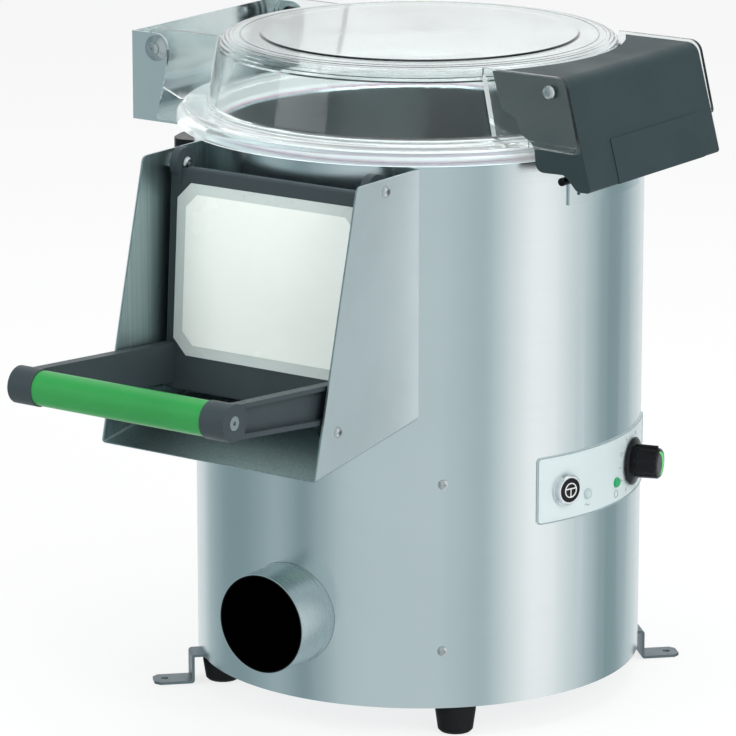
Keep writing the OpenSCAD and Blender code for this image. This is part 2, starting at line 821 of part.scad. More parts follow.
module timer_body() {
    color("#3a3c3e")
    on_case(timer_angle, timer_z, panel_r) difference() {
        union() {
            translate([-24, -24, -50]) cube([48, 48, 40]);
            translate([0, 0, -12]) cylinder(d = timer_shaft_d + 7, h = 7.4);
            for (x = [-16, 16])
                translate([x - 3, -30, -46]) cube([6, 6, 20]);
        }
        translate([0, 0, -32]) cylinder(d = timer_shaft_d + 2 * run_gap, h = 40);
    }
}

module timer_knob() {
    flute_r = 5;
    color("#17181a")
    on_case(timer_angle, timer_z, panel_r) {
        difference() {
            union() {
                rotate_extrude() polygon([[0, 0.8], [knob_skirt_d / 2 - 1, 0.8],
                    [knob_skirt_d / 2, 1.8], [knob_skirt_d / 2, 3], [knob_skirt_d / 2 - 1.5, 4.2],
                    [knob_d / 2, 6], [knob_d / 2 - 0.8, knob_len - 1.5],
                    [knob_d / 2 - 2.2, knob_len], [0, knob_len]]);
                translate([-1.2, 0, 5]) cube([2.4, knob_d / 2 + 1.5, knob_len - 7]);
            }
            for (i = [0:9])
                rotate([0, 0, i * 36]) translate([knob_d / 2 + flute_r - 1.6, 0, 7])
                    cylinder(r = flute_r, h = knob_len);
            translate([0, 0, knob_len - 2.5]) cylinder(r = knob_d / 2 - 3.5, h = 4);
        }
        translate([0, 0, -28]) cylinder(d = timer_shaft_d, h = 30);
    }
}

module knob_insert() {
    color("#2fb457")
    on_case(timer_angle, timer_z, panel_r) translate([0, 0, knob_len - 2.5]) {
        rotate_extrude() polygon([[0, 0], [knob_d / 2 - 3.5, 0], [knob_d / 2 - 3.5, 2.2],
                                  [knob_d / 2 - 4.5, 3], [0, 3.2]]);
    }
}

// ---------- drive ----------

module drive_plate() {
    plate_r = post_r - post_depth;
    cut_x = case_r - 76;
    color("lightgray")
    difference() {
        intersection() {
            translate([0, 0, z_plate]) cylinder(r = plate_r - hole_gap, h = plate_t);
            union() {
                translate([-case_r, drain_y + drain_r + 5, 0]) cube([case_d, case_d, through]);
                rotate([0, 0, post_angles[0]]) translate([-20, -case_r, 0])
                    cube([40, case_r, through]);
            }
        }
        translate([cut_x, -90, z_plate - 1]) cube([case_r, 200, plate_t + 2]);
        translate([0, 0, z_plate - 1]) cylinder(r = shaft_r + 5, h = plate_t + 2);
        translate([0, motor_offset, z_plate - 1]) cylinder(r = 19, h = plate_t + 2);
        for (x = [-1, 1])
            translate([x * (motor_r + 40), motor_offset - 30, z_plate - 1])
                cylinder(r = 18, h = plate_t + 2);
    }
    color("lightgray")
    for (a = post_angles)
        rotate([0, 0, a]) translate([-post_w / 2 + post_t, -post_r + post_t, z_plate - 10])
            cube([post_w - 2 * post_t, post_depth + 6, 10]);
}

module bearing_housing() {
    top = z_pan - drum_wall;
    color("#7d8286")
    difference() {
        rotate_extrude() polygon(rounded([
            [0, z_plate_top, 0], [housing_r + 18, z_plate_top, 0],
            [housing_r + 18, z_plate_top + 6, 1], [housing_r, z_plate_top + 10, 5],
            [housing_r, top - 12, 5], [housing_r + 14, top - 6, 1], [housing_r + 14, top, 0],
            [0, top, 0]], 3));
        translate([0, 0, z_plate - 1]) cylinder(r = shaft_r + 5, h = through);
        translate([0, 0, z_plate_top - 1]) cylinder(r = bearing_r, h = bearing_h + 1);
        translate([0, 0, top - bearing_h - 8]) cylinder(r = bearing_r, h = bearing_h + 10);
        translate([0, motor_offset, z_plate]) cylinder(r = motor_r + 1.5, h = z_motor_top - z_plate + 2);
        for (a = [45:90:315]) rotate([0, 0, a]) {
            translate([housing_r + 9, 0, z_plate]) cylinder(r = 3.3, h = 14);
            translate([housing_r + 8, 0, top - 10]) cylinder(r = 2.7, h = 14);
        }
    }
}

module ball_bearings() {
    color("silver")
    for (z = [z_plate_top, z_pan - drum_wall - bearing_h - 8])
        translate([0, 0, z]) rotate_extrude() polygon([
            [shaft_r + run_gap, 0.5], [shaft_r + 4, 0.5], [shaft_r + 4.5, 2], [bearing_r - 4.5, 2],
            [bearing_r - 4, 0.5], [bearing_r - 0.02, 0.5], [bearing_r - 0.02, bearing_h],
            [bearing_r - 4, bearing_h], [bearing_r - 4.5, bearing_h - 1.5],
            [shaft_r + 4.5, bearing_h - 1.5], [shaft_r + 4, bearing_h],
            [shaft_r + run_gap, bearing_h]]);
}

module shaft_seal() {
    color("#26282a")
    rotate_extrude() polygon([
        [shaft_r + 0.3, z_pan - drum_wall - 7], [bearing_r - 0.2, z_pan - drum_wall - 7],
        [bearing_r - 0.2, z_pan - drum_wall], [shaft_r + 8.8, z_pan - drum_wall],
        [shaft_r + 8.8, z_pan + 3], [shaft_r + 2.5, z_pan + 6], [shaft_r + 0.3, z_pan + 5]]);
}

module motor_housing() {
    body_top = z_motor_top - fan_cover_h;
    core_r = motor_r - 7;
    fin_count = 20;
    color("#5d6a70")
    translate([0, motor_offset, 0]) difference() {
        union() {
            translate([0, 0, z_motor]) cylinder(r = motor_r, h = 10);
            translate([0, 0, z_motor + 9]) cylinder(r = core_r, h = body_top - z_motor - 9);
            for (i = [0:fin_count - 1])
                rotate([0, 0, i * 360 / fin_count])
                    translate([core_r - 2, -1.25, z_motor + 9])
                    cube([motor_r - core_r + 1, 2.5, body_top - z_motor - 9]);
        }
        translate([0, 0, z_motor - 1]) cylinder(r = motor_shaft_d / 2 + run_gap, h = through);
    }
}

module motor_fan_cover() {
    color("#2b2e30")
    translate([0, motor_offset, z_motor_top - fan_cover_h]) difference() {
        rotate_extrude() polygon([[0, 0], [motor_r, 0], [motor_r, fan_cover_h - 6],
                                  [motor_r - 6, fan_cover_h], [0, fan_cover_h]]);
        translate([0, 0, -1]) cylinder(r = motor_r - 3, h = fan_cover_h - 3);
        for (ring = [[20, 6], [36, 10]], i = [0:ring[1] - 1])
            rotate([0, 0, i * 360 / ring[1]]) translate([ring[0], 0, 0])
                cylinder(r = 4.5, h = fan_cover_h + 1);
        cylinder(r = 7, h = fan_cover_h + 1);
    }
}

module pulley(r, bore_r, hub_r) {
    difference() {
        union() {
            rotate_extrude() polygon([
                [0, 0], [r, 0], [r, 1.5], [r - groove_d, 4 - belt_gap],
                [r - groove_d, 4 + belt_w + belt_gap], [r, pulley_h - 1.5], [r, pulley_h],
                [0, pulley_h]]);
            translate([0, 0, -8]) cylinder(r = hub_r, h = 9);
        }
        translate([0, 0, -9]) cylinder(r = bore_r, h = pulley_h + 10);
        if (r > 40)
            for (i = [0:4])
                rotate([0, 0, i * 72]) translate([(r - groove_d + hub_r) / 2, 0, -1])
                    cylinder(r = (r - groove_d - hub_r) / 2 - 5, h = pulley_h + 2);
    }
}

module driven_pulley() {
    color("#8b9094") translate([0, 0, z_belt - 4])
        pulley(driven_pulley_d / 2, shaft_r + 0.02, shaft_r + 9);
}

module drive_pulley() {
    color("#8b9094") translate([0, motor_offset, z_belt - 4])
        pulley(drive_pulley_d / 2, motor_shaft_d / 2 + 0.02, motor_shaft_d / 2 + 6);
}

module v_belt() {
    r1 = driven_pulley_d / 2 - groove_d + belt_gap;
    r2 = drive_pulley_d / 2 - groove_d + belt_gap;
    color("#1d1d1f")
    translate([0, 0, z_belt]) linear_extrude(belt_w) difference() {
        hull() {
            circle(r = r1 + belt_t, $fn = 60);
            translate([0, motor_offset]) circle(r = r2 + belt_t, $fn = 60);
        }
        hull() {
            circle(r = r1, $fn = 60);
            translate([0, motor_offset]) circle(r = r2, $fn = 60);
        }
    }
}

module drive_shaft() {
    color("silver") {
        translate([0, 0, z_belt - 14]) cylinder(r = shaft_r, h = z_disc_top - 1 - z_belt + 14);
        translate([0, 0, z_disc_top - 1]) cylinder(r = thread_r, h = 14);
    }
}

module motor_shaft() {
    color("silver") translate([0, motor_offset, z_belt - 12])
        cylinder(d = motor_shaft_d, h = z_motor_top - fan_cover_h + 6 - z_belt + 12);
}

// Abrasive disc with radial waves that tumble the load
module peeling_disc() {
    wave_r = 46;
    hub_r = 42;
    color("#9a9c96")
    difference() {
        union() {
            rotate_extrude() polygon([
                [0, z_disc - 4], [hub_r - 4, z_disc - 4], [hub_r, z_disc], [disc_r - 3, z_disc],
                [disc_r, z_disc + 3], [disc_r, z_disc_top - 1], [disc_r - 1.5, z_disc_top],
                [0, z_disc_top]]);
            intersection() {
                for (i = [0:wave_count - 1])
                    rotate([0, 0, i * 360 / wave_count])
                        translate([0, 0, z_disc_top + wave_h - wave_r]) rotate([0, 90, 0])
                        cylinder(r = wave_r, h = disc_r);
                difference() {
                    translate([0, 0, z_disc + 2]) cylinder(r = disc_r - 4, h = 60);
                    translate([0, 0, z_disc]) cylinder(r = hub_r - 10, h = 80);
                }
            }
            translate([0, 0, z_disc]) cylinder(r = hub_r - 8, h = disc_t + 4);
        }
        translate([0, 0, z_disc - 5]) cylinder(r = shaft_r + 0.02, h = disc_t + 4);
        translate([0, 0, z_disc]) cylinder(r = thread_r + 0.02, h = 60);
    }
}

module disc_nut() {
    color("silver") translate([0, 0, z_disc_top + 4]) difference() {
        union() {
            cylinder(r = thread_r + 7.5, h = 3);
            translate([0, 0, 3]) cylinder(r = thread_r + 4.5, h = 5, $fn = 6);
            translate([0, 0, 8]) rotate_extrude() polygon([[0, 0], [thread_r + 2, 0],
                [thread_r + 1.5, 3], [thread_r - 1.5, 6.5], [0, 8]]);
        }
        translate([0, 0, -1]) cylinder(r = thread_r + 0.02, h = 11);
    }
}

// ---------- water and electrics ----------

module water_inlet() {
    stub = 20;
    color("#c9a24a")
    on_case(inlet_angle, inlet_z) difference() {
        union() {
            cylinder(r = 19, h = 4, $fn = 6);
            cylinder(d = inlet_d, h = 4 + stub);
            translate([0, 0, -6]) cylinder(d = inlet_d - 6 - 2 * hole_gap, h = 7);
        }
        translate([0, 0, -13]) cylinder(r = 6, h = stub + 30);
    }
}

module water_valve() {
    color("#e4e6e6")
    on_case(inlet_angle, inlet_z) {
        difference() {
            union() {
                translate([-14, -14, -42]) cube([28, 28, 36]);
                translate([0, 14, hose_r - case_r]) rotate([-90, 0, 0])
                    cylinder(d = hose_d - 3, h = 14);
            }
            translate([0, 0, -26]) cylinder(r = 6, h = 30);
        }
        translate([0, 0, -74]) cylinder(r = 15, h = 32);
    }
}

module water_hose() {
    z0 = inlet_z + 15;
    color("#d7dcdd")
    rotate([0, 0, inlet_angle]) translate([0, -hose_r, 0]) difference() {
        translate([0, 0, z0]) cylinder(d = hose_d, h = nozzle_z - 6 - z0);
        translate([0, 0, z0 - 1]) cylinder(d = hose_d - 3, h = nozzle_z);
    }
}

module spray_nozzle() {
    color("#55585a")
    on_case(inlet_angle, nozzle_z, 0) difference() {
        union() {
            translate([0, 0, drum_in_r - 10]) cylinder(d = hose_d, h = hose_r - drum_in_r + 15);
            translate([0, 0, drum_in_r - 12]) rotate_extrude()
                polygon([[0, 0], [7, 0], [9, 3], [9, 12 - drum_wall / 2 - 0.6], [0, 11]]);
            translate([0, -6, hose_r]) rotate([90, 0, 0]) cylinder(d = hose_d - 3, h = 8);
        }
        translate([0, 0, drum_in_r - 14]) cylinder(r = 3, h = 20);
    }
}

module cable_gland() {
    color("#1c1d1f")
    on_case(gland_angle, gland_z) difference() {
        union() {
            cylinder(r = 12, h = 5, $fn = 6);
            translate([0, 0, 5]) cylinder(r = 9.5, h = 4);
            translate([0, 0, 9]) cylinder(r = 12, h = 6, $fn = 6);
            translate([0, 0, 15]) rotate_extrude()
                polygon([[0, 0], [10.2, 0], [9.6, 4], [7.6, 7], [0, 8]]);
            translate([0, 0, -12]) cylinder(d = 16, h = 12.5);
            translate([0, 0, -case_wall - 6]) cylinder(r = 11.5, h = 5, $fn = 6);
        }
        translate([0, 0, -13]) cylinder(d = gland_bore_d, h = 40);
        translate([0, 0, -13]) cylinder(d = gland_bore_d + 2, h = 15);
    }
}

module relay_box() {
    color("#4c4f52")
    on_case(relay_angle, z_base_top, 0) {
        translate([-30, 0, inner_r - 66]) cube([60, 56, 42]);
        for (x = [-21:14:21])
            translate([x - 4, 55, inner_r - 52]) cube([8, 7, 12]);
        translate([-38, 0, inner_r - 58]) cube([76, 3, 26]);
    }
}

// ---------- door ----------

// Children drawn at the door's hinge, in the door's leaning frame
module at_door() {
    translate([0, pivot_y, z_pivot]) rotate([-door_lean, 0, 0]) children();
}

module door_panel() {
    half = door_w / 2;
    top = -2.5;
    color("#3d464b")
    difference() {
        union() {
            at_door() slab_x(-half, half) polygon(rounded([
                [door_front, top, 3], [door_rear, top, 2], [door_rear, top - door_h, 1],
                [door_front, top - door_h, 2]]));
            both_x() translate([ear_in_x, 0, 0]) at_door() slab_x(0, ear_out_x - ear_in_x) union() {
                circle(r = ear_r);
                polygon([[0, -3], [door_rear - 1, -ear_drop], for (t = [90:-15:0])
                    [door_front + 0.6 + (ear_r - 8.2) * (sin(t) - 1),
                     -8 - (ear_drop - 8) * (1 - cos(t))]]);
            }
            both_x() door_arm();
            translate([-handle_w / 2, grip_y, z_grip]) rotate([0, 90, 0])
                cylinder(r = handle_r, h = handle_w);
        }
        translate([-grip_w / 2, grip_y, z_grip]) rotate([0, 90, 0]) difference() {
            cylinder(r = handle_r + 5, h = grip_w);
            translate([0, 0, -1]) cylinder(r = handle_r - 4, h = grip_w + 2);
        }
        both_x() translate([ear_in_x - 1, pivot_y, z_pivot]) rotate([0, 90, 0])
            cylinder(r = screw_r + run_gap, h = 20);
        both_x() translate([ear_out_x + 0.1, pivot_y, z_pivot]) rotate([0, 90, 0])
            cylinder(r = standoff_r + 1, h = 20);
        both_x() translate([ear_in_x - 6, pivot_y, z_pivot]) rotate([0, 90, 0])
            cylinder(r = 6.4, h = 6.1);
        both_x() translate([handle_w / 2 - 16, grip_y, z_grip]) rotate([0, 90, 0]) {
            cylinder(r = screw_r, h = 20);
            translate([0, 0, 13]) cylinder(r1 = screw_r, r2 = screw_r + 3.2, h = 3.2);
        }
    }
}

// One arm of the handle, with the hollow between its flanges on the outside
module door_arm() {
    root_y = pivot_y - 14;
    color("#3d464b")
    difference() {
        slab_x(arm_out_x - arm_t, arm_out_x) polygon([
            [root_y, z_grip - 2.5], [grip_y, z_grip + 13.5], [grip_y, z_grip - 15.5],
            [root_y, z_grip - 38]]);
        slab_x(arm_out_x - 6, arm_out_x + 1) polygon(rounded([
            [root_y - 7, z_grip - 6, 3], [grip_y + 19, z_grip + 8, 2],
            [grip_y + 19, z_grip - 13.5, 2], [root_y - 7, z_grip - 33, 3]]));
    }
}

module door_label() {
    half = door_w / 2 - label_border;
    low = door_h - 29;
    cut = 14;
    color("#f1f3f1")
    at_door() translate([0, door_front, 0]) slab_y(-1, 0) polygon([
        [-half + cut, -16], [half - cut, -16], [half, -16 - cut], [half, -low + cut],
        [half - cut, -low], [-half + cut, -low], [-half, -low + cut], [-half, -16 - cut]]);
}

module door_gasket() {
    w = mouth_w + 2 * frame_t + 2 * frame_land;
    h = mouth_h + 2 * frame_t + 2 * frame_land;
    mid = (mouth_top + mouth_low) / 2 - z_pivot;
    color("#9aa09e")
    at_door() translate([0, door_rear, 0]) slab_y(0, gasket_t - 0.1) translate([0, mid]) difference() {
        polygon(rounded([[-w / 2, -h / 2, 4], [w / 2, -h / 2, 4], [w / 2, h / 2, 4],
                         [-w / 2, h / 2, 4]]));
        polygon(rounded([[-w / 2 + 8, -h / 2 + 8, 3], [w / 2 - 8, -h / 2 + 8, 3],
                         [w / 2 - 8, h / 2 - 8, 3], [-w / 2 + 8, h / 2 - 8, 3]]));
    }
}

module grip_sleeve() {
    color("#35a94a")
    translate([-grip_w / 2, grip_y, z_grip]) rotate([0, 90, 0])
        tube(grip_d / 2, handle_r - 4, grip_w);
}

module grip_screws() {
    color("gainsboro")
    both_x() translate([handle_w / 2 - 16, grip_y, z_grip]) rotate([0, 90, 0]) difference() {
        union() {
            cylinder(r = screw_r, h = 13);
            translate([0, 0, 13]) cylinder(r1 = screw_r, r2 = screw_r + 3, h = 3);
        }
        translate([0, 0, 13.5]) cylinder(d = 4, h = 4, $fn = 6);
    }
}

// ---------- lid ----------

function lid_outside() = rounded([
    [0, z_lid, 0], [lid_step_r, z_lid, 0.8], [lid_step_r + 1.6, z_lid - 1.6, 0.4],
    [dome_r, z_lid - 1.6, shoulder_r], [foot_wall_r, z_top + 20.5, 4],
    [rim_r - 8, z_top + 19.5, 4], [rim_r, z_top + 12, 4], [rim_r, z_top + 4, 0],
    [0, z_top + 4, 0]], 5);

function lid_inside() = rounded([
    [0, z_lid - lid_t, 0], [dome_r - lid_t, z_lid - lid_t - 0.6, shoulder_r - lid_t],
    [foot_wall_r - lid_t, z_top + 22, 0], [foot_wall_r - lid_t, z_top + 19.5 - lid_t, 2],
    [rim_r - 6, z_top + 19.5 - lid_t, 3], [rim_r - lid_t, z_top + 10, 3],
    [rim_r - lid_t, z_top, 0], [0, z_top, 0]], 5);

module lid_cover() {
    latch_ear_top = z_lid - 1.6;
    color([0.85, 0.9, 0.9, 0.5])
    difference() {
        union() {
            rotate_extrude() polygon(lid_outside());
            both_y() slab_y(-latch_ear_y - latch_ear_t, -latch_ear_y) polygon(rounded([
                [case_r - 60, latch_ear_top, 0], [case_r + 22, latch_ear_top, 12],
                [case_r + 38, z_top + 16, 4], [case_r - 60, z_top + 21, 0]]));
            both_y() slab_y(-latch_ear_y - latch_ear_t - 1.5, -latch_ear_y - latch_ear_t + 1)
                polygon([[case_r - 12, z_top + 17.6], [case_r + 33, z_top + 16.5],
                         [case_r + 35, z_top + 22], [case_r - 12, z_top + 23.5]]);
            both_y() slab_y(-hinge_ear_y, -hinge_ear_y + hinge_ear_t) polygon(rounded([
                [-case_r + 60, z_hinge + 17, 0], [hinge_x - 17, z_hinge + 17, 16],
                [hinge_x - 17, z_hinge - 17, 14], [hinge_x + 3, z_top + 24, 4],
                [-case_r + 10, z_top + 15.5, 0], [-case_r + 60, z_top + 19, 0]]));
        }
        rotate_extrude() polygon(lid_inside());
        both_y() translate([latch_x, -latch_ear_y, z_latch]) rotate([90, 0, 0])
            cylinder(r = screw_r + hole_gap, h = 20, center = true);
        both_y() translate([hinge_x, -hinge_ear_y, z_hinge]) rotate([90, 0, 0])
            cylinder(r = 6, h = 20, center = true);
    }
}

module lid_seal() {
    color("#b58aa6")
    rotate_extrude() polygon([
        [seal_r - 7, z_rim + 0.3], [seal_r - 4, z_rim + 5], [seal_r - 4, z_top + 15.5],
        [seal_r + 4, z_top + 15.5], [seal_r + 4, z_rim + 5], [seal_r + 1, z_rim + 0.3]]);
}

module hinge_bushes() {
    color("#2a2c2e")
    both_y() translate([hinge_x, -hinge_ear_y + hinge_ear_t + 0.5, z_hinge]) rotate([90, 0, 0])
        difference() {
            union() {
                cylinder(r = 5.98, h = hinge_ear_t + 0.5);
                translate([0, 0, hinge_ear_t + 0.5]) cylinder(r = 9, h = 1.7);
            }
            translate([0, 0, -1]) cylinder(r = screw_r + run_gap, h = 12);
        }
}

module latch_screws() {
    color("gainsboro")
    both_y() translate([latch_x, -latch_ear_y - latch_ear_t, z_latch]) rotate([90, 0, 0]) {
        socket_head(5.9, 3.4);
        translate([0, 0, -16]) cylinder(r = screw_r, h = 16);
    }
}

// ---------- latch ----------

// Side outline of the latch cover: it follows the dome, the rim and the keeper rod
function latch_side() = rounded([
    [case_r - 52, latch_top, 0], [latch_shoulder_x, latch_top, 12],
    [latch_low_x, latch_low, 3], [case_r + 33, latch_low, 8], [rod_x + 6.5, z_rod + 3, 2],
    [rod_x + 1.5, z_rod + 6.2, 1.5], [by_rim_x + 2.5, z_top - 4, 8], [by_rim_x, z_top + 20, 3],
    [by_rim_x - 11.5, z_top + 27, 6], [case_r - 28, z_top + 41, 7], [case_r - 42, z_top + 46, 6]]);

// The inside of the cover's outer wall runs between these two points
wall_a = [latch_shoulder_x - latch_t * 0.8, latch_top - latch_t];
wall_b = [latch_low_x - latch_t * 0.15, latch_low - 10];

function wall_x(z) = wall_a[0] + (wall_b[0] - wall_a[0]) * (wall_a[1] - z) / (wall_a[1] - wall_b[1]);

module latch_cover() {
    slope = atan((latch_low_x - latch_shoulder_x) / (latch_top - latch_low));
    color("#3a4449")
    difference() {
        union() {
            difference() {
                slab_y(-latch_y, latch_y) polygon(latch_side());
                slab_y(-latch_y + latch_t, latch_y - latch_t) polygon(rounded([
                    [case_r / 2, latch_top - latch_t, 0],
                    [wall_a[0], wall_a[1], 9], [wall_b[0], wall_b[1], 0],
                    [case_r / 2, latch_low - 10, 0]]));
            }
            both_y() translate([latch_x, -latch_y + latch_t + 6, z_latch]) rotate([90, 0, 0])
                cylinder(r = 7.5, h = 7);
            translate([latch_low_x, 0, latch_low]) rotate([0, -slope, 0])
                translate([-1, -60, 1]) cube([1.8, 139, 39]);
        }
        translate([0, 0, z_top + 30]) cylinder(r = latch_arc_r, h = 100);
        both_y() translate([latch_x, -latch_y, z_latch]) rotate([90, 0, 0])
            cylinder(r = screw_r + run_gap, h = 30, center = true);
    }
}

// Steel hooks inside the cover that reach under the keeper rod
module latch_hooks() {
    under = z_rod - rod_d / 2 - rod_gap;
    high = z_top + 40;
    color("gainsboro") {
        both_y() slab_y(-hook_y - hook_t, -hook_y) polygon([
            [wall_x(high) - 7, high], [wall_x(high), high], [wall_x(z_rod - 2), z_rod - 2],
            [rod_x + 18, under - 3], [rod_x - 1, under - 3], [rod_x - 3.5, under - 1.2],
            [rod_x - 3.5, under], [rod_x + 5, under], [rod_x + 6.5, z_rod],
            [rod_x + 6.5, z_rod + 6], [rod_x + 3, z_rod + 12]]);
        slab_y(-hook_y, hook_y) polygon([
            [wall_x(high) - 3, high], [wall_x(high), high],
            [wall_x(high - 10), high - 10], [wall_x(high - 10) - 3, high - 10]]);
    }
}

outer_casing();
base_plate();
support_posts();
casing_screws();
rubber_feet();
foot_bolts();
floor_brackets();
peeling_drum();
abrasive_liner();
discharge_frame();
discharge_chute();
chute_screws();
hinge_standoffs();
door_stops();
drain_pipe();
drain_elbow();
drum_pan();
hinge_bracket();
hinge_screws();
latch_keeper();
interlock_box();
control_panel();
button_bezel();
switch_block();
power_lamp();
run_lamp();
timer_body();
drive_plate();
bearing_housing();
ball_bearings();
shaft_seal();
motor_housing();
motor_fan_cover();
v_belt();
water_inlet();
water_valve();
water_hose();
spray_nozzle();
cable_gland();
relay_box();
door_panel();
door_label();
door_gasket();
grip_sleeve();
grip_screws();
lid_cover();
lid_seal();
hinge_bushes();
latch_screws();
latch_cover();
latch_hooks();
peeling_disc();
disc_nut();
drive_shaft();
driven_pulley();
motor_shaft();
drive_pulley();
timer_knob();
knob_insert();
pulse_button();
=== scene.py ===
# %% [markdown]
# # An electric potato peeler, dressed for its picture
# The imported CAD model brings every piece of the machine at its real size. This lesson gives the
# pieces their finishes, adds the small things that a drawing leaves out, and sets up a studio.

# %% Load the frame
import math

import bmesh
import bpy
from mathutils import Matrix, Vector


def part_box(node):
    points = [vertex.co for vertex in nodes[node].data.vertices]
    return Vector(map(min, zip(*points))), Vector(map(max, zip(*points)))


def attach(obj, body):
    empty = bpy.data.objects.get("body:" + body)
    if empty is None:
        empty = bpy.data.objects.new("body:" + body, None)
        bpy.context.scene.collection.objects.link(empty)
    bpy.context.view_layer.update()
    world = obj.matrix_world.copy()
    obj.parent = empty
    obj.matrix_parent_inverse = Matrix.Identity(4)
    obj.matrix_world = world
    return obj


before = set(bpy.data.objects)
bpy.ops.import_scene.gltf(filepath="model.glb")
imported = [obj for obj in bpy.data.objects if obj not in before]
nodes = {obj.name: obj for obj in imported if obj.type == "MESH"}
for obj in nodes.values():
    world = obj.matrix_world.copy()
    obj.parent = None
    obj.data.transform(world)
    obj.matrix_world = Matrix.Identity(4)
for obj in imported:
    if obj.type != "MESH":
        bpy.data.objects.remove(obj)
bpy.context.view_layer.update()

# %% [markdown]
# The camera comes first, because every later choice is judged through it. A tele lens from four
# metres keeps the upright edges nearly parallel, as in a catalogue picture. Its place was found
# by fitting the casing's circles and the chute's corners.

# %% Camera
camera_data = bpy.data.cameras.new("catalogue_camera")
camera_data.lens = 226.6
camera_data.sensor_width = 36
camera_data.clip_end = 60
camera = bpy.data.objects.new("catalogue_camera", camera_data)
bpy.context.scene.collection.objects.link(camera)
camera.location = (2.2773, -3.3290, 1.3116)
look_at = Vector((-0.0372, -0.0261, 0.2818))
camera.rotation_euler = (look_at - camera.location).to_track_quat("-Z", "Y").to_euler()
bpy.context.scene.camera = camera
bpy.context.scene.view_settings.view_transform = "Standard"
CAMERA_AZIMUTH = math.radians(35.02)
print("the camera stands", round((look_at - camera.location).length, 2), "m away")

# %% [markdown]
# Brushed metal shows what stands round it more than it shows lamps. So the studio is painted
# into the world as upright soft bands: a ramp reads the compass direction of a reflected ray. A
# picture of a real studio would do as well, but the bands need no file and are quick to move.
# Camera rays get plain white, and rays that light the object get one plain level.

# %% Studio bands
def node(tree, kind, place, **values):
    """One node at a place in the tree, with its options and its sockets' values by name."""
    made = tree.nodes.new(kind)
    made.location = place
    for key, value in values.items():
        if hasattr(made, key):
            setattr(made, key, value)
        else:
            made.inputs[key.replace("_", " ")].default_value = value
    return made


def wire(tree, links):
    for a, b in links:
        tree.links.new(a, b)


def studio_grey(level):
    """Dark bands turn a little blue-green, as steel does under daylight tubes."""
    return (level ** 1.27, level, level ** 0.94, 1)


# each band: its direction, in degrees from the camera's own towards the picture's right, and
# its brightness
BANDS = [
    (-180, 0.95), (-150, 0.85), (-137, 0.53), (-118, 0.36), (-104, 0.35), (-92, 0.42),
    (-80, 0.53), (-71, 0.47), (-62, 0.30), (-53, 0.49), (-37, 0.69), (-20, 0.70), (12, 0.71),
    (22, 0.64), (34, 0.53), (40, 0.74), (50, 0.96), (60, 1.18), (70, 1.12), (84, 0.87),
    (98, 0.67), (110, 0.36), (124, 0.38), (140, 0.70), (160, 0.92), (180, 0.95)]
print("the studio has", len(BANDS) - 1, "bands")

# %% Studio world
LIGHT_LEVEL = 0.55

world = bpy.data.worlds.new("studio")
bpy.context.scene.world = world
world.use_nodes = True
wt = world.node_tree
wt.nodes.clear()
direction = node(wt, "ShaderNodeTexCoord", (-1200, 0))
to_right = node(wt, "ShaderNodeVectorMath", (-1000, 120), operation="DOT_PRODUCT")
to_right.inputs[1].default_value = (math.cos(CAMERA_AZIMUTH), math.sin(CAMERA_AZIMUTH), 0)
to_front = node(wt, "ShaderNodeVectorMath", (-1000, -60), operation="DOT_PRODUCT")
to_front.inputs[1].default_value = (math.sin(CAMERA_AZIMUTH), -math.cos(CAMERA_AZIMUTH), 0)
compass = node(wt, "ShaderNodeMath", (-800, 40), operation="ARCTAN2")
as_share = node(wt, "ShaderNodeMapRange", (-620, 40), From_Min=-math.pi, From_Max=math.pi)
bands = node(wt, "ShaderNodeValToRGB", (-440, 40))
ramp = bands.color_ramp
ramp.interpolation = "EASE"
for angle, level in BANDS[1:-1]:
    ramp.elements.new((angle + 180) / 360).color = studio_grey(level)
ramp.elements[0].color = studio_grey(BANDS[0][1])
ramp.elements[-1].color = studio_grey(BANDS[-1][1])
reflected = node(wt, "ShaderNodeBackground", (-120, 60), Strength=1.0)
lighting = node(wt, "ShaderNodeBackground", (-120, -80), Color=(1, 1, 1, 1),
                Strength=LIGHT_LEVEL)
backdrop = node(wt, "ShaderNodeBackground", (-120, -200), Color=(1, 1, 1, 1), Strength=1.0)
rays = node(wt, "ShaderNodeLightPath", (-320, 380))
glossy_mix = node(wt, "ShaderNodeMixShader", (80, 0))
camera_mix = node(wt, "ShaderNodeMixShader", (260, 0))
seen = node(wt, "ShaderNodeMath", (80, 300), operation="MAXIMUM")
world_out = node(wt, "ShaderNodeOutputWorld", (440, 0))
wire(wt, [
    (direction.outputs["Generated"], to_right.inputs[0]),
    (direction.outputs["Generated"], to_front.inputs[0]),
    (to_right.outputs["Value"], compass.inputs[0]),
    (to_front.outputs["Value"], compass.inputs[1]),
    (compass.outputs[0], as_share.inputs["Value"]),
    (as_share.outputs["Result"], bands.inputs["Fac"]),
    (bands.outputs["Color"], reflected.inputs["Color"]),
    (rays.outputs["Is Glossy Ray"], glossy_mix.inputs["Fac"]),
    (lighting.outputs[0], glossy_mix.inputs[1]),
    (reflected.outputs[0], glossy_mix.inputs[2]),
    (rays.outputs["Is Camera Ray"], seen.inputs[0]),
    (rays.outputs["Is Transmission Ray"], seen.inputs[1]),
    (seen.outputs[0], camera_mix.inputs["Fac"]),
    (glossy_mix.outputs[0], camera_mix.inputs[1]),
    (backdrop.outputs[0], camera_mix.inputs[2]),
    (camera_mix.outputs[0], world_out.inputs["Surface"]),
])
print("the world's ramp has", len(ramp.elements), "colours")

# %% [markdown]
# Three large lamps light what isn't metal: one from the right and above, which brightens the
# latch cover's outer face, a softer one from the left front, and one overhead. They don't show
# in reflections, because the painted bands already do that.

# %% Lamps
LAMP_AIM = Vector((0, -0.05, 0.3))


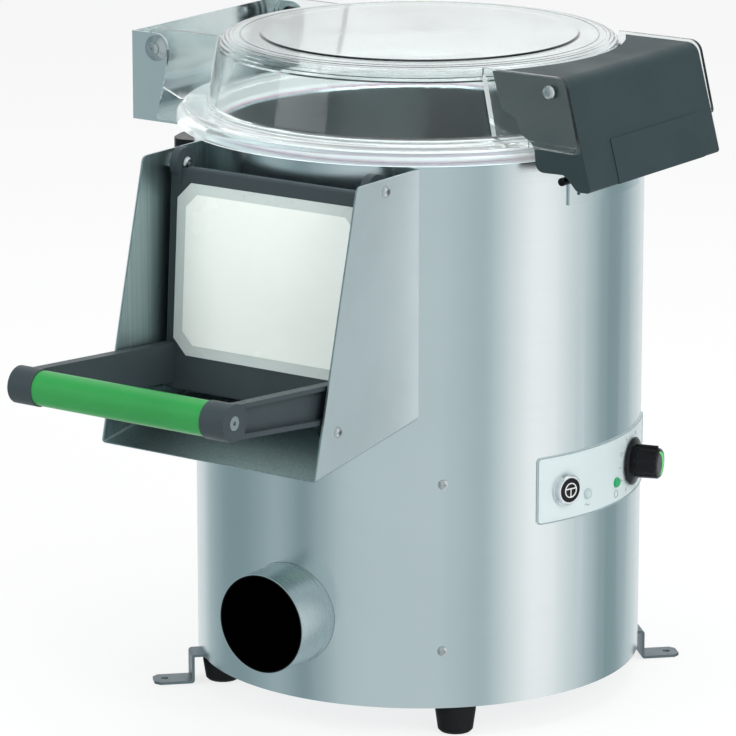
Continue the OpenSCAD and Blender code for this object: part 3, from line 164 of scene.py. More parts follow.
def softbox(name, place, size, power):
    data = bpy.data.lights.new(name, "AREA")
    data.shape = "SQUARE"
    data.size = size
    data.energy = power
    lamp = bpy.data.objects.new(name, data)
    lamp.location = place
    aim = LAMP_AIM - Vector(place)
    lamp.rotation_euler = aim.to_track_quat("-Z", "Y").to_euler()
    lamp.visible_glossy = False
    bpy.context.scene.collection.objects.link(lamp)
    print(name, "gives", power, "W")


softbox("right_softbox", (2.6, -0.9, 1.9), 1.6, 42)
softbox("left_softbox", (-1.7, -2.6, 1.7), 2.0, 34)
softbox("overhead_softbox", (0.2, 0.2, 3.2), 2.4, 46)

# %% [markdown]
# The floor is a pale sheet. It lets reflected rays pass, so that the casing's lower half mirrors
# the same upright bands as its upper half. To the camera it glows a little, so that it comes out
# nearly white, and it still keeps the machine's soft shadow.

# %% Floor
FLOOR_GAP, FLOOR_GLOW = 0.0006, 0.78

bm = bmesh.new()
bmesh.ops.create_grid(bm, x_segments=1, y_segments=1, size=14)
floor_mesh = bpy.data.meshes.new("studio_floor")
bm.to_mesh(floor_mesh)
bm.free()
floor = bpy.data.objects.new("studio_floor", floor_mesh)
floor.location.z = -FLOOR_GAP
bpy.context.scene.collection.objects.link(floor)
floor_paint = bpy.data.materials.new("studio_floor")
floor_paint.use_nodes = True
ft = floor_paint.node_tree
ft.nodes.clear()
matt = node(ft, "ShaderNodeBsdfDiffuse", (-400, 100), Color=(0.93, 0.94, 0.94, 1))
glow = node(ft, "ShaderNodeEmission", (-400, -40), Color=(1, 1, 1, 1), Strength=1.0)
clear = node(ft, "ShaderNodeBsdfTransparent", (-400, -160))
floor_rays = node(ft, "ShaderNodeLightPath", (-800, 200))
share = node(ft, "ShaderNodeMath", (-600, 260), operation="MULTIPLY")
share.inputs[1].default_value = FLOOR_GLOW
seen_mix = node(ft, "ShaderNodeMixShader", (-180, 60))
gloss_mix = node(ft, "ShaderNodeMixShader", (20, 0))
floor_out = node(ft, "ShaderNodeOutputMaterial", (220, 0))
wire(ft, [
    (floor_rays.outputs["Is Camera Ray"], share.inputs[0]),
    (share.outputs[0], seen_mix.inputs["Fac"]),
    (matt.outputs[0], seen_mix.inputs[1]),
    (glow.outputs[0], seen_mix.inputs[2]),
    (floor_rays.outputs["Is Glossy Ray"], gloss_mix.inputs["Fac"]),
    (seen_mix.outputs[0], gloss_mix.inputs[1]),
    (clear.outputs[0], gloss_mix.inputs[2]),
    (gloss_mix.outputs[0], floor_out.inputs["Surface"]),
])
floor.data.materials.append(floor_paint)
print("the floor lies", FLOOR_GAP * 1000, "mm below the feet")

# %% [markdown]
# Real surfaces are never one flat value. Three small effects repeat over the machine, so each is
# a node group that is built once: fine grain lines for brushed sheet, the orange-peel of moulded
# plastic, and a faint cloud of handling marks.

# %% Shared effects
def effect(name, inputs, outputs):
    """An empty group with its named sockets, and the two nodes at its ends."""
    group = bpy.data.node_groups.new(name, "ShaderNodeTree")
    for label, kind, value in inputs:
        socket = group.interface.new_socket(label, in_out="INPUT", socket_type=kind)
        if value is not None:
            socket.default_value = value
    for label, kind in outputs:
        group.interface.new_socket(label, in_out="OUTPUT", socket_type=kind)
    print("effect:", name)
    return (group, node(group, "NodeGroupInput", (-600, 0)),
            node(group, "NodeGroupOutput", (600, 0)))

# %% Brushed grain
def grain_group():
    group, given, result = effect(
        "brushed grain",
        [("Vector", "NodeSocketVector", None), ("Lines", "NodeSocketFloat", 900.0),
         ("Soft", "NodeSocketFloat", 0.3), ("Rough", "NodeSocketFloat", 0.42)],
        [("Height", "NodeSocketFloat"), ("Roughness", "NodeSocketFloat")])
    fine = node(group, "ShaderNodeTexNoise", (-360, 120), Detail=3.0, Roughness=0.62)
    coarse = node(group, "ShaderNodeTexNoise", (-360, -120), Detail=2.0, Scale=90.0)
    both = node(group, "ShaderNodeMix", (-120, 60), data_type="FLOAT")
    both.inputs[0].default_value = 0.35
    spread = node(group, "ShaderNodeMapRange", (120, -60), From_Min=0.3, From_Max=0.7)
    wire(group, [
        (given.outputs["Vector"], fine.inputs["Vector"]),
        (given.outputs["Vector"], coarse.inputs["Vector"]),
        (given.outputs["Lines"], fine.inputs["Scale"]),
        (fine.outputs["Fac"], both.inputs[2]),
        (coarse.outputs["Fac"], both.inputs[3]),
        (both.outputs[0], spread.inputs["Value"]),
        (given.outputs["Soft"], spread.inputs["To Min"]),
        (given.outputs["Rough"], spread.inputs["To Max"]),
        (both.outputs[0], result.inputs["Height"]),
        (spread.outputs["Result"], result.inputs["Roughness"]),
    ])
    return group


GRAIN = grain_group()

# %% Moulded surface
def peel_group():
    group, given, result = effect(
        "moulded surface",
        [("Vector", "NodeSocketVector", None), ("Scale", "NodeSocketFloat", 900.0),
         ("Low", "NodeSocketFloat", 0.4), ("High", "NodeSocketFloat", 0.55)],
        [("Height", "NodeSocketFloat"), ("Roughness", "NodeSocketFloat")])
    pits = node(group, "ShaderNodeTexVoronoi", (-360, 120), feature="SMOOTH_F1")
    cloud = node(group, "ShaderNodeTexNoise", (-360, -160), Scale=14.0, Detail=4.0)
    spread = node(group, "ShaderNodeMapRange", (-60, -120), From_Min=0.35, From_Max=0.65)
    wire(group, [
        (given.outputs["Vector"], pits.inputs["Vector"]),
        (given.outputs["Scale"], pits.inputs["Scale"]),
        (given.outputs["Vector"], cloud.inputs["Vector"]),
        (cloud.outputs["Fac"], spread.inputs["Value"]),
        (given.outputs["Low"], spread.inputs["To Min"]),
        (given.outputs["High"], spread.inputs["To Max"]),
        (pits.outputs["Distance"], result.inputs["Height"]),
        (spread.outputs["Result"], result.inputs["Roughness"]),
    ])
    return group


PEEL = peel_group()

# %% Handling marks
def marks_group():
    group, given, result = effect(
        "handling marks",
        [("Vector", "NodeSocketVector", None), ("Clean", "NodeSocketColor", (1, 1, 1, 1)),
         ("Worn", "NodeSocketColor", (0.9, 0.9, 0.9, 1)), ("Scale", "NodeSocketFloat", 9.0)],
        [("Color", "NodeSocketColor")])
    cloud = node(group, "ShaderNodeTexNoise", (-360, 60), Detail=6.0, Roughness=0.6)
    edge = node(group, "ShaderNodeMapRange", (-120, 60), From_Min=0.4, From_Max=0.72)
    mix = node(group, "ShaderNodeMix", (200, 0), data_type="RGBA")
    wire(group, [
        (given.outputs["Vector"], cloud.inputs["Vector"]),
        (given.outputs["Scale"], cloud.inputs["Scale"]),
        (cloud.outputs["Fac"], edge.inputs["Value"]),
        (edge.outputs["Result"], mix.inputs[0]),
        (given.outputs["Clean"], mix.inputs[6]),
        (given.outputs["Worn"], mix.inputs[7]),
        (mix.outputs[2], result.inputs["Color"]),
    ])
    return group


MARKS = marks_group()

# %% [markdown]
# A finish is one Principled shader fed by these effects. Sheet metal is drawn over an abrasive
# belt, so its noise is stretched along the belt's way: round the casing, and up and down on the
# folded plates. A Mapping node with uneven scales does the stretching and sets how many lines
# there are, so the effect's own number of lines stays at 1. An anisotropic shader would stretch
# the highlights too, but it shows no single lines from close by.

# %% Metal finishes
def blank(name, **constants):
    """A new finish with its Principled shader, and the shader's plain values by name."""
    made = bpy.data.materials.new(name)
    made.use_nodes = True
    shader = made.node_tree.nodes["Principled BSDF"]
    for key, value in constants.items():
        shader.inputs[key.replace("_", " ")].default_value = value
    print("finish:", name)
    return made, made.node_tree, shader


def place_effect(tree, group, spot, vector, **values):
    made = node(tree, "ShaderNodeGroup", spot)
    made.node_tree = group
    tree.links.new(vector, made.inputs["Vector"])
    for key, value in values.items():
        made.inputs[key].default_value = value
    return made


def bump(tree, shader, height, strength, distance):
    made = node(tree, "ShaderNodeBump", (-220, -260), Strength=strength, Distance=distance)
    tree.links.new(height, made.inputs["Height"])
    tree.links.new(made.outputs["Normal"], shader.inputs["Normal"])


def brushed(name, tint, worn, stretch, soft=0.24, rough=0.36, height=0.00002, **constants):
    made, tree, shader = blank(name, Metallic=1.0, **constants)
    spot = node(tree, "ShaderNodeTexCoord", (-1100, 0))
    along = node(tree, "ShaderNodeMapping", (-900, 0), Scale=stretch)
    tree.links.new(spot.outputs["Object"], along.inputs["Vector"])
    grain = place_effect(tree, GRAIN, (-640, -60), along.outputs["Vector"],
                         Lines=1.0, Soft=soft, Rough=rough)
    marks = place_effect(tree, MARKS, (-640, 200), spot.outputs["Object"],
                         Clean=(*tint, 1), Worn=(*worn, 1), Scale=7.0)
    tree.links.new(marks.outputs["Color"], shader.inputs["Base Color"])
    tree.links.new(grain.outputs["Roughness"], shader.inputs["Roughness"])
    bump(tree, shader, grain.outputs["Height"], 0.5, height)
    return made


casing_steel = brushed("casing steel, brushed round", (0.675, 0.75, 0.765),
                       (0.65, 0.725, 0.74), (5, 5, 1100), soft=0.17, rough=0.27, height=0.00001)
drum_steel = brushed("drum steel", (0.62, 0.76, 0.79), (0.54, 0.67, 0.70), (6, 6, 800),
                     soft=0.12, rough=0.22)
bracket_steel = brushed("bracket steel", (0.76, 0.82, 0.83), (0.68, 0.74, 0.75), (14, 14, 500),
                        soft=0.10, rough=0.2)
bright_steel = brushed("bright steel", (0.72, 0.77, 0.78), (0.66, 0.71, 0.72), (300, 300, 300),
                       soft=0.16, rough=0.26)
screw_steel = brushed("screw steel", (0.60, 0.63, 0.64), (0.52, 0.55, 0.56), (260, 260, 260),
                      soft=0.2, rough=0.32)
zinc_steel = brushed("zinc-plated steel", (0.20, 0.245, 0.265), (0.16, 0.20, 0.22), (60, 60, 60),
                     soft=0.34, rough=0.5)
aluminium = brushed("turned aluminium", (0.86, 0.89, 0.91), (0.81, 0.84, 0.86), (420, 420, 420),
                    soft=0.23, rough=0.28, height=0.000005)
brass = brushed("machined brass", (0.62, 0.44, 0.16), (0.50, 0.34, 0.12), (300, 300, 300),
                soft=0.22, rough=0.36)

# %% [markdown]
# The moulded pieces have a fine eroded skin that scatters the light, so their highlights are wide
# and weak. The pits are only a few hundredths of a millimetre deep.

# %% Plastic and rubber finishes
def moulded(name, tint, worn, low=0.42, high=0.56, pits=1400.0, depth=0.00004, **constants):
    made, tree, shader = blank(name, **constants)
    spot = node(tree, "ShaderNodeTexCoord", (-1000, 0))
    skin = place_effect(tree, PEEL, (-640, -60), spot.outputs["Object"],
                        Scale=pits, Low=low, High=high)
    marks = place_effect(tree, MARKS, (-640, 200), spot.outputs["Object"],
                         Clean=(*tint, 1), Worn=(*worn, 1), Scale=12.0)
    tree.links.new(marks.outputs["Color"], shader.inputs["Base Color"])
    tree.links.new(skin.outputs["Roughness"], shader.inputs["Roughness"])
    bump(tree, shader, skin.outputs["Height"], 0.6, depth)
    return made


anthracite = moulded("anthracite moulding", (0.038, 0.053, 0.060), (0.045, 0.061, 0.068),
                     Specular_IOR_Level=0.35)
black_gloss = moulded("black moulding", (0.005, 0.006, 0.007), (0.008, 0.009, 0.010),
                      low=0.18, high=0.28, pits=500.0, depth=0.00001,
                      Specular_IOR_Level=0.2)
grey_plastic = moulded("grey moulding", (0.12, 0.125, 0.13), (0.10, 0.105, 0.11))
white_plastic = moulded("white moulding", (0.78, 0.79, 0.78), (0.70, 0.71, 0.70))
green_grip = moulded("green grip", (0.022, 0.285, 0.058), (0.018, 0.250, 0.050),
                     low=0.34, high=0.44, pits=900.0)
black_rubber = moulded("black rubber", (0.006, 0.007, 0.008), (0.012, 0.013, 0.014),
                       low=0.6, high=0.78, pits=700.0, Specular_IOR_Level=0.2)
grey_rubber = moulded("grey sealing rubber", (0.26, 0.28, 0.27), (0.22, 0.24, 0.23),
                      low=0.55, high=0.7)
print_grey = moulded("grey print", (0.13, 0.15, 0.15), (0.11, 0.13, 0.13), low=0.35, high=0.45)
print_blue = moulded("panel border print", (0.27, 0.36, 0.38), (0.24, 0.33, 0.35),
                     low=0.3, high=0.4)
print_white = moulded("white print", (0.80, 0.82, 0.82), (0.74, 0.76, 0.76),
                      low=0.3, high=0.4)
latch_grey = moulded("latch cover moulding", (0.022, 0.038, 0.042), (0.028, 0.045, 0.049),
                     Specular_IOR_Level=0.35)
label_grey = moulded("label border", (0.58, 0.66, 0.64), (0.54, 0.62, 0.60),
                     low=0.25, high=0.34, pits=500.0, depth=0.000008)
label_white = moulded("label field", (0.89, 0.955, 0.915), (0.86, 0.925, 0.885),
                      low=0.2, high=0.28, pits=500.0, depth=0.000006)
panel_foil = moulded("panel foil", (0.60, 0.69, 0.70), (0.57, 0.66, 0.67), low=0.3, high=0.4,
                     pits=900.0, depth=0.000008)
motor_paint = moulded("motor paint", (0.09, 0.13, 0.15), (0.08, 0.115, 0.135), low=0.35, high=0.5)
cast_paint = moulded("cast housing paint", (0.14, 0.15, 0.155), (0.11, 0.12, 0.125),
                     low=0.5, high=0.65, pits=300.0, depth=0.0002)
hose_milky = moulded("milky hose", (0.62, 0.66, 0.67), (0.58, 0.62, 0.63), low=0.3, high=0.4,
                     Transmission_Weight=0.25)

# %% [markdown]
# Five pieces carry two tones on one mesh. The chute is rougher inside, where the load slides, and
# darker there with painted shade. The drain pipe is bright outside, and nearly black inside with
# painted shade in its bore. The keeper's rod is dark with painted shade, as it lies under the
# latch cover, and its plate is as bright as the casing. The seal's lowest lip is rose and the
# rest milky.
# The knob's insert shows a bright green crescent beside a black eye. In all five, the paint only
# has to ask how far a point lies from one centre: a Mapping node moves the centre to the origin,
# and a scale of 0 drops the axis that doesn't count.

# %% Two-tone finishes
def two_tone(name, near, far, centre, keep, limit, soft_edge=0.0003, metallic=0.0, low=0.2,
             high=0.34, near_rough=0.5, stretch=(200, 200, 200)):
    """The near tone lies within the limit from the centre, the far tone outside it."""
    made, tree, shader = blank(name, Metallic=metallic)
    spot = node(tree, "ShaderNodeTexCoord", (-1300, 0))
    move = node(tree, "ShaderNodeMapping", (-1100, 200), Scale=keep,
                Location=tuple(-c * k for c, k in zip(centre, keep)))
    length = node(tree, "ShaderNodeVectorMath", (-900, 200), operation="LENGTH")
    outside = node(tree, "ShaderNodeMapRange", (-700, 200), From_Min=limit,
                   From_Max=limit + soft_edge)
    along = node(tree, "ShaderNodeMapping", (-1100, -300), Scale=stretch)
    grain = place_effect(tree, GRAIN, (-700, -300), along.outputs["Vector"],
                         Lines=1.0, Soft=low, Rough=high)
    # the near tone with lighter patches: painted shade on the chute's inside, the drain pipe's
    # bore and the keeper's rod, and the real colour of the seal's lip and the knob's eye
    near_patches = place_effect(tree, MARKS, (-700, -80), along.outputs["Vector"], Clean=(*near, 1),
                         Worn=(*[c * 1.35 for c in near], 1), Scale=0.4)
    worn = place_effect(tree, MARKS, (-700, 60), spot.outputs["Object"], Clean=(*far, 1),
                        Worn=(*[c * 0.93 for c in far], 1), Scale=9.0)
    paint = node(tree, "ShaderNodeMix", (-400, 60), data_type="RGBA")
    dull = node(tree, "ShaderNodeMix", (-400, -240), data_type="FLOAT")
    dull.inputs[2].default_value = near_rough
    wire(tree, [
        (spot.outputs["Object"], move.inputs["Vector"]),
        (spot.outputs["Object"], along.inputs["Vector"]),
        (move.outputs["Vector"], length.inputs[0]),
        (length.outputs["Value"], outside.inputs["Value"]),
        (outside.outputs["Result"], paint.inputs[0]),
        (near_patches.outputs["Color"], paint.inputs[6]),
        (worn.outputs["Color"], paint.inputs[7]),
        (paint.outputs[2], shader.inputs["Base Color"]),
        (outside.outputs["Result"], dull.inputs[0]),
        (grain.outputs["Roughness"], dull.inputs[3]),
        (dull.outputs[0], shader.inputs["Roughness"]),
    ])
    bump(tree, shader, grain.outputs["Height"], 0.4, 0.00001)
    return made

# %% Knob insert
KNOB_ANGLE, EYE_OFFSET, EYE_SIZE = 104.1, 0.55, 0.95

insert_low, insert_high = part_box("knob_insert")
insert_low, insert_high = Vector(insert_low), Vector(insert_high)
insert_radius = (insert_high.z - insert_low.z) / 2
knob_turn = math.radians(KNOB_ANGLE)
eye = (insert_low + insert_high) / 2
eye -= Vector((math.cos(knob_turn), math.sin(knob_turn), 0)) * insert_radius * EYE_OFFSET
print("the knob's insert has a radius of", round(insert_radius * 1000, 2), "mm")
knob_green = two_tone("knob insert", (0.008, 0.008, 0.009), (0.06, 0.62, 0.12), tuple(eye),
                      (1, 1, 1), insert_radius * EYE_SIZE, soft_edge=0.0002, near_rough=0.25)

# %% Drain pipe, keeper and seal
PIPE_AXIS, PIPE_BORE = (0, 0, 0.103), 0.0435
ROD_CENTRE, ROD_REACH = (0.2175, 0, 0.4973), 0.0075
ROSE_LIP = 0.0012

# the drain pipe's bore is nearly black with painted shade; its outside is bright brushed steel
drain_steel_painted_bore_shade = two_tone("drain steel", (0.012, 0.011, 0.010), (0.66, 0.74, 0.76),
                       PIPE_AXIS, (1, 0, 1), PIPE_BORE, metallic=1.0, stretch=(24, 900, 24))
# the keeper's rod is dark with painted shade, as it sits under the latch cover; its plate is
# bright steel
keeper_steel_painted_rod_shade = two_tone("keeper steel", (0.02, 0.02, 0.021), (0.66, 0.74, 0.755),
                        ROD_CENTRE, (1, 0, 1), ROD_REACH, metallic=1.0, low=0.18,
                        high=0.27, stretch=(5, 5, 1100))
seal_low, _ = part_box("lid_seal")
seal_rubber = two_tone("seal rubber", (0.50, 0.34, 0.45), (0.80, 0.84, 0.84),
                       (0, 0, seal_low[2]), (0, 0, 1), ROSE_LIP, soft_edge=0.0008, low=0.35,
                       high=0.5)

# %% Chute and near-black steel
CHUTE_FRONT, CHUTE_LOW, CHUTE_HIGH, PLATE_SKIN = -0.24, 0.30, 0.45, 0.0009

chute_half = max(abs(v.co.x) for v in nodes["discharge_chute"].data.vertices
                 if v.co.y < CHUTE_FRONT and CHUTE_LOW < v.co.z < CHUTE_HIGH)
print("the chute's plates stand", round(chute_half * 1000, 2), "mm from the middle")
# inside the plates the chute is darker with painted shade, and rougher where the load slides;
# outside it is bright brushed steel
chute_steel_painted_shade_inside = two_tone("chute steel", (0.33, 0.42, 0.43), (0.80, 0.86, 0.87), (0, 0, 0),
                       (1, 0, 0), chute_half - PLATE_SKIN, metallic=1.0, low=0.34, high=0.48,
                       near_rough=0.42, stretch=(1000, 1000, 6))
# a nearly black brushed steel for the drain elbow
near_black_steel = brushed("near-black steel", (0.030, 0.028, 0.026), (0.05, 0.038, 0.03),
                        (120, 120, 40), soft=0.4, rough=0.6)

# %% [markdown]
# The abrasive lining and disc are coated with sharp grit in a dark binder. A cell pattern gives
# each grain its own shade and a raised facet.

# %% Abrasive finish
grit, gt, grit_shader = blank("abrasive grit", Roughness=0.75)
grit_spot = node(gt, "ShaderNodeTexCoord", (-1000, 0))
grains = node(gt, "ShaderNodeTexVoronoi", (-760, 100), Scale=420.0)
grain_tone = node(gt, "ShaderNodeValToRGB", (-480, 180))
grain_tone.color_ramp.elements[0].color = (0.10, 0.10, 0.095, 1)
grain_tone.color_ramp.elements[1].color = (0.34, 0.34, 0.32, 1)
wire(gt, [
    (grit_spot.outputs["Object"], grains.inputs["Vector"]),
    (grains.outputs["Color"], grain_tone.inputs["Fac"]),
    (grain_tone.outputs["Color"], grit_shader.inputs["Base Color"]),
])
bump(gt, grit_shader, grains.outputs["Distance"], 1.0, 0.0012)

# %% [markdown]
# The lid is clear moulded plastic with real walls. Shadow rays pass it unweakened, because the
# path tracer would otherwise leave the drum below it nearly black. Edges and faces seen at a
# grazing angle get a painted glow in the emission, found by Layer Weight, which stands in for the
# milky look of such mouldings. The flange was tooled rough: it has a greyer tint and a stronger
# painted glow all over, and its ring is found by height and by distance from the lid's axis.
# A low alpha would be simpler to render, but only real transmission bends what lies behind.

# %% Flange mask
# each pair: where the mask starts to change, and where it has changed, in metres
FLANGE_INNER, FLANGE_OUTER, FLANGE_TOP = (0.180, 0.186), (0.2160, 0.2175), (0.524, 0.530)


def flange_mask(tree, position):
    """1 on the lid's flange and 0 on the rest of it."""
    flat = node(tree, "ShaderNodeMapping", (-1000, -620), Scale=(1, 1, 0))
    reach = node(tree, "ShaderNodeVectorMath", (-820, -620), operation="LENGTH")
    height = node(tree, "ShaderNodeSeparateXYZ", (-820, -900))
    outside = node(tree, "ShaderNodeMapRange", (-640, -620),
                   From_Min=FLANGE_INNER[0], From_Max=FLANGE_INNER[1])
    inside = node(tree, "ShaderNodeMapRange", (-640, -800),
                  From_Min=FLANGE_OUTER[0], From_Max=FLANGE_OUTER[1], To_Min=1.0, To_Max=0.0)
    below = node(tree, "ShaderNodeMapRange", (-640, -980),
                 From_Min=FLANGE_TOP[0], From_Max=FLANGE_TOP[1], To_Min=1.0, To_Max=0.0)
    ring = node(tree, "ShaderNodeMath", (-420, -700), operation="MULTIPLY")
    flange = node(tree, "ShaderNodeMath", (-260, -760), operation="MULTIPLY")
    wire(tree, [
        (position, flat.inputs["Vector"]),
        (position, height.inputs[0]),
        (flat.outputs["Vector"], reach.inputs[0]),
        (reach.outputs["Value"], outside.inputs["Value"]),
        (reach.outputs["Value"], inside.inputs["Value"]),
        (height.outputs["Z"], below.inputs["Value"]),
        (outside.outputs["Result"], ring.inputs[0]),
        (inside.outputs["Result"], ring.inputs[1]),
        (ring.outputs[0], flange.inputs[0]),
        (below.outputs["Result"], flange.inputs[1]),
    ])
    return flange.outputs[0]


print("the flange lies from", FLANGE_INNER[0], "to", FLANGE_OUTER[1], "m from the axis")

# %% Clear lid
PAINTED_EDGE_GLOW_START, PAINTED_EDGE_GLOW, FLANGE_GLOW = 0.60, (0.28, 0.295, 0.295), (0.36, 0.375, 0.375)
FLANGE_TINT = (0.72, 0.75, 0.75)


def clear_plastic(name, tint, rough):
    made, tree, shader = blank(name, Base_Color=(*tint, 1), Transmission_Weight=1.0,
                               IOR=1.49, Emission_Strength=0.42)
    spot = node(tree, "ShaderNodeTexCoord", (-1000, 0))
    skin = place_effect(tree, PEEL, (-640, -60), spot.outputs["Object"],
                        Scale=160.0, Low=rough, High=rough + 0.05)
    tree.links.new(skin.outputs["Roughness"], shader.inputs["Roughness"])
    bump(tree, shader, skin.outputs["Height"], 0.25, 0.00003)
    # a painted glow: Layer Weight lights faces seen at a grazing angle through the emission
    grazing = node(tree, "ShaderNodeLayerWeight", (-640, -320), Blend=0.5)
    painted_edge_glow = node(tree, "ShaderNodeValToRGB", (-440, -420))
    painted_edge_glow.color_ramp.elements[0].position = PAINTED_EDGE_GLOW_START
    painted_edge_glow.color_ramp.elements[0].color = (0.0, 0.0, 0.0, 1)
    painted_edge_glow.color_ramp.elements[1].color = (*PAINTED_EDGE_GLOW, 1)
    flange = flange_mask(tree, spot.outputs["Object"])
    # milky: the colour of the painted glow, from grazing edges or from the whole flange
    milky = node(tree, "ShaderNodeMix", (-60, -520), data_type="RGBA")
    milky.inputs[7].default_value = (*FLANGE_GLOW, 1)
    body = node(tree, "ShaderNodeMix", (-60, -240), data_type="RGBA")
    body.inputs[6].default_value = (*tint, 1)
    body.inputs[7].default_value = (*FLANGE_TINT, 1)
    light_path = node(tree, "ShaderNodeLightPath", (-200, 420))
    passing = node(tree, "ShaderNodeBsdfTransparent", (40, -240), Color=(0.93, 0.95, 0.95, 1))
    mix = node(tree, "ShaderNodeMixShader", (340, 60))
    wire(tree, [
        (grazing.outputs["Facing"], painted_edge_glow.inputs["Fac"]),
        (flange, milky.inputs[0]),
        (painted_edge_glow.outputs["Color"], milky.inputs[6]),
        (milky.outputs[2], shader.inputs["Emission Color"]),
        (flange, body.inputs[0]),
        (body.outputs[2], shader.inputs["Base Color"]),
        (light_path.outputs["Is Shadow Ray"], mix.inputs["Fac"]),
        (shader.outputs[0], mix.inputs[1]),
        (passing.outputs[0], mix.inputs[2]),
        (mix.outputs[0], tree.nodes["Material Output"].inputs["Surface"]),
    ])
    return made


clear_lid = clear_plastic("clear lid plastic", (0.85, 0.89, 0.885), 0.03)

# %% [markdown]
# The two pilot lamps have small smooth lenses. Real ones are clear with a tinted inside, but at
# this size a glossy finish in the lens's own colour looks the same.

# %% Lamp lenses
white_lens = moulded("white lamp lens", (0.50, 0.59, 0.61), (0.45, 0.54, 0.56), low=0.1,
                     high=0.18, pits=600.0, depth=0.00001)
green_lens = moulded("green lamp lens", (0.010, 0.36, 0.13), (0.010, 0.30, 0.11), low=0.1,
                     high=0.18, pits=600.0, depth=0.00001)

# %% [markdown]
# Now each CAD node gets its finish. The nodes stay where they are, and only their material slot
# changes.

# %% Dress the CAD nodes
FINISHES = {
    casing_steel: ["outer_casing"],
    chute_steel_painted_shade_inside: ["discharge_chute"],
    drum_steel: ["peeling_drum", "drum_pan", "base_plate", "drive_plate"],
    bright_steel: ["discharge_frame", "latch_hooks"],
    bracket_steel: ["hinge_bracket"],
    drain_steel_painted_bore_shade: ["drain_pipe"],
    near_black_steel: ["drain_elbow"],
    keeper_steel_painted_rod_shade: ["latch_keeper"],
    screw_steel: ["casing_screws", "foot_bolts", "chute_screws", "hinge_standoffs",
                  "hinge_screws", "grip_screws", "latch_screws", "disc_nut", "drive_shaft",
                  "motor_shaft", "ball_bearings"],
    zinc_steel: ["floor_brackets", "support_posts"],
    aluminium: ["button_bezel", "driven_pulley", "drive_pulley"],
    brass: ["water_inlet"],
    anthracite: ["door_panel"],
    latch_grey: ["latch_cover"],
    black_gloss: ["interlock_box", "timer_knob", "pulse_button", "cable_gland",
                  "motor_fan_cover", "hinge_bushes"],
    grey_plastic: ["switch_block", "timer_body", "relay_box", "spray_nozzle"],
    white_plastic: ["water_valve"],
    green_grip: ["grip_sleeve"],
    knob_green: ["knob_insert"],
    black_rubber: ["rubber_feet", "door_stops", "shaft_seal", "v_belt"],
    grey_rubber: ["door_gasket"],
    seal_rubber: ["lid_seal"],
    label_grey: ["door_label"],
    panel_foil: ["control_panel"],
    motor_paint: ["motor_housing"],
    cast_paint: ["bearing_housing"],
    hose_milky: ["water_hose"],
    grit: ["abrasive_liner", "peeling_disc"],
    clear_lid: ["lid_cover"],
    white_lens: ["power_lamp"],
    green_lens: ["run_lamp"],
}
for finish, names in FINISHES.items():
    for name in names:
        nodes[name].data.materials.clear()
        nodes[name].data.materials.append(finish)
bare = sorted(set(nodes) - {n for names in FINISHES.values() for n in names})
print("nodes without a finish:", bare)

# %% [markdown]
# The label on the door is a pale plate with a white field. The field could be a mask in the
# plate's paint, but a thin piece of its own, with cut corners and laid into the door's leaning
# plane, has a real edge that catches the light.

# %% Label field
PIVOT = Vector((0, -0.215, 0.4955))
DOOR_LEAN = math.radians(-3.8)
LEAN = Matrix.Translation(PIVOT) @ Matrix.Rotation(DOOR_LEAN, 4, "X")


def add_piece(name, bm, finish, body):
    """Turns a built shape into a piece that rides on a body of the machine."""
    mesh = bpy.data.meshes.new(name)
    bmesh.ops.recalc_face_normals(bm, faces=bm.faces)
    bm.to_mesh(mesh)
    bm.free()
    piece = bpy.data.objects.new(name, mesh)
    bpy.context.scene.collection.objects.link(piece)
    piece.data.materials.append(finish)
    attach(piece, body)


def prism(bm, outline, low, high, place):
    """A closed plate: the outline's points in X and Z, from y = low to y = high."""
    rings = [[bm.verts.new(place @ Vector((x, y, z))) for x, z in outline] for y in (low, high)]
    bm.faces.new(rings[0])
    bm.faces.new(list(reversed(rings[1])))
    n = len(outline)
    for i in range(n):
        j = (i + 1) % n
        bm.faces.new([rings[0][j], rings[0][i], rings[1][i], rings[1][j]])


# measured from the door's pivot, in the door's own plane
half, cut, top, low = 0.0895, 0.0115, -0.0255, -0.1575
FIELD_FRONT, FIELD_BACK = -0.00735, -0.0070
field = [(-half + cut, top), (half - cut, top), (half, top - cut), (half, low + cut),
         (half - cut, low), (-half + cut, low), (-half, low + cut), (-half, top - cut)]
bm = bmesh.new()
prism(bm, field, FIELD_FRONT, FIELD_BACK, LEAN)
add_piece("label_field", bm, label_white, "door")
print("the label's field measures", round(2000 * half), "by", round(1000 * (top - low)), "mm")

# %% [markdown]
# The control panel is printed: a thin frame line, a mark under each lamp and a dial round the
# timer knob. Every printed line is a path that lies on the panel's curve, so one Geometry Nodes
# tree serves them all: it takes the path's edges as a curve and sweeps a small ring along it.
# Half of the ring sinks into the foil, so a line stands proud by half its width and catches the
# light as thick screen print does.

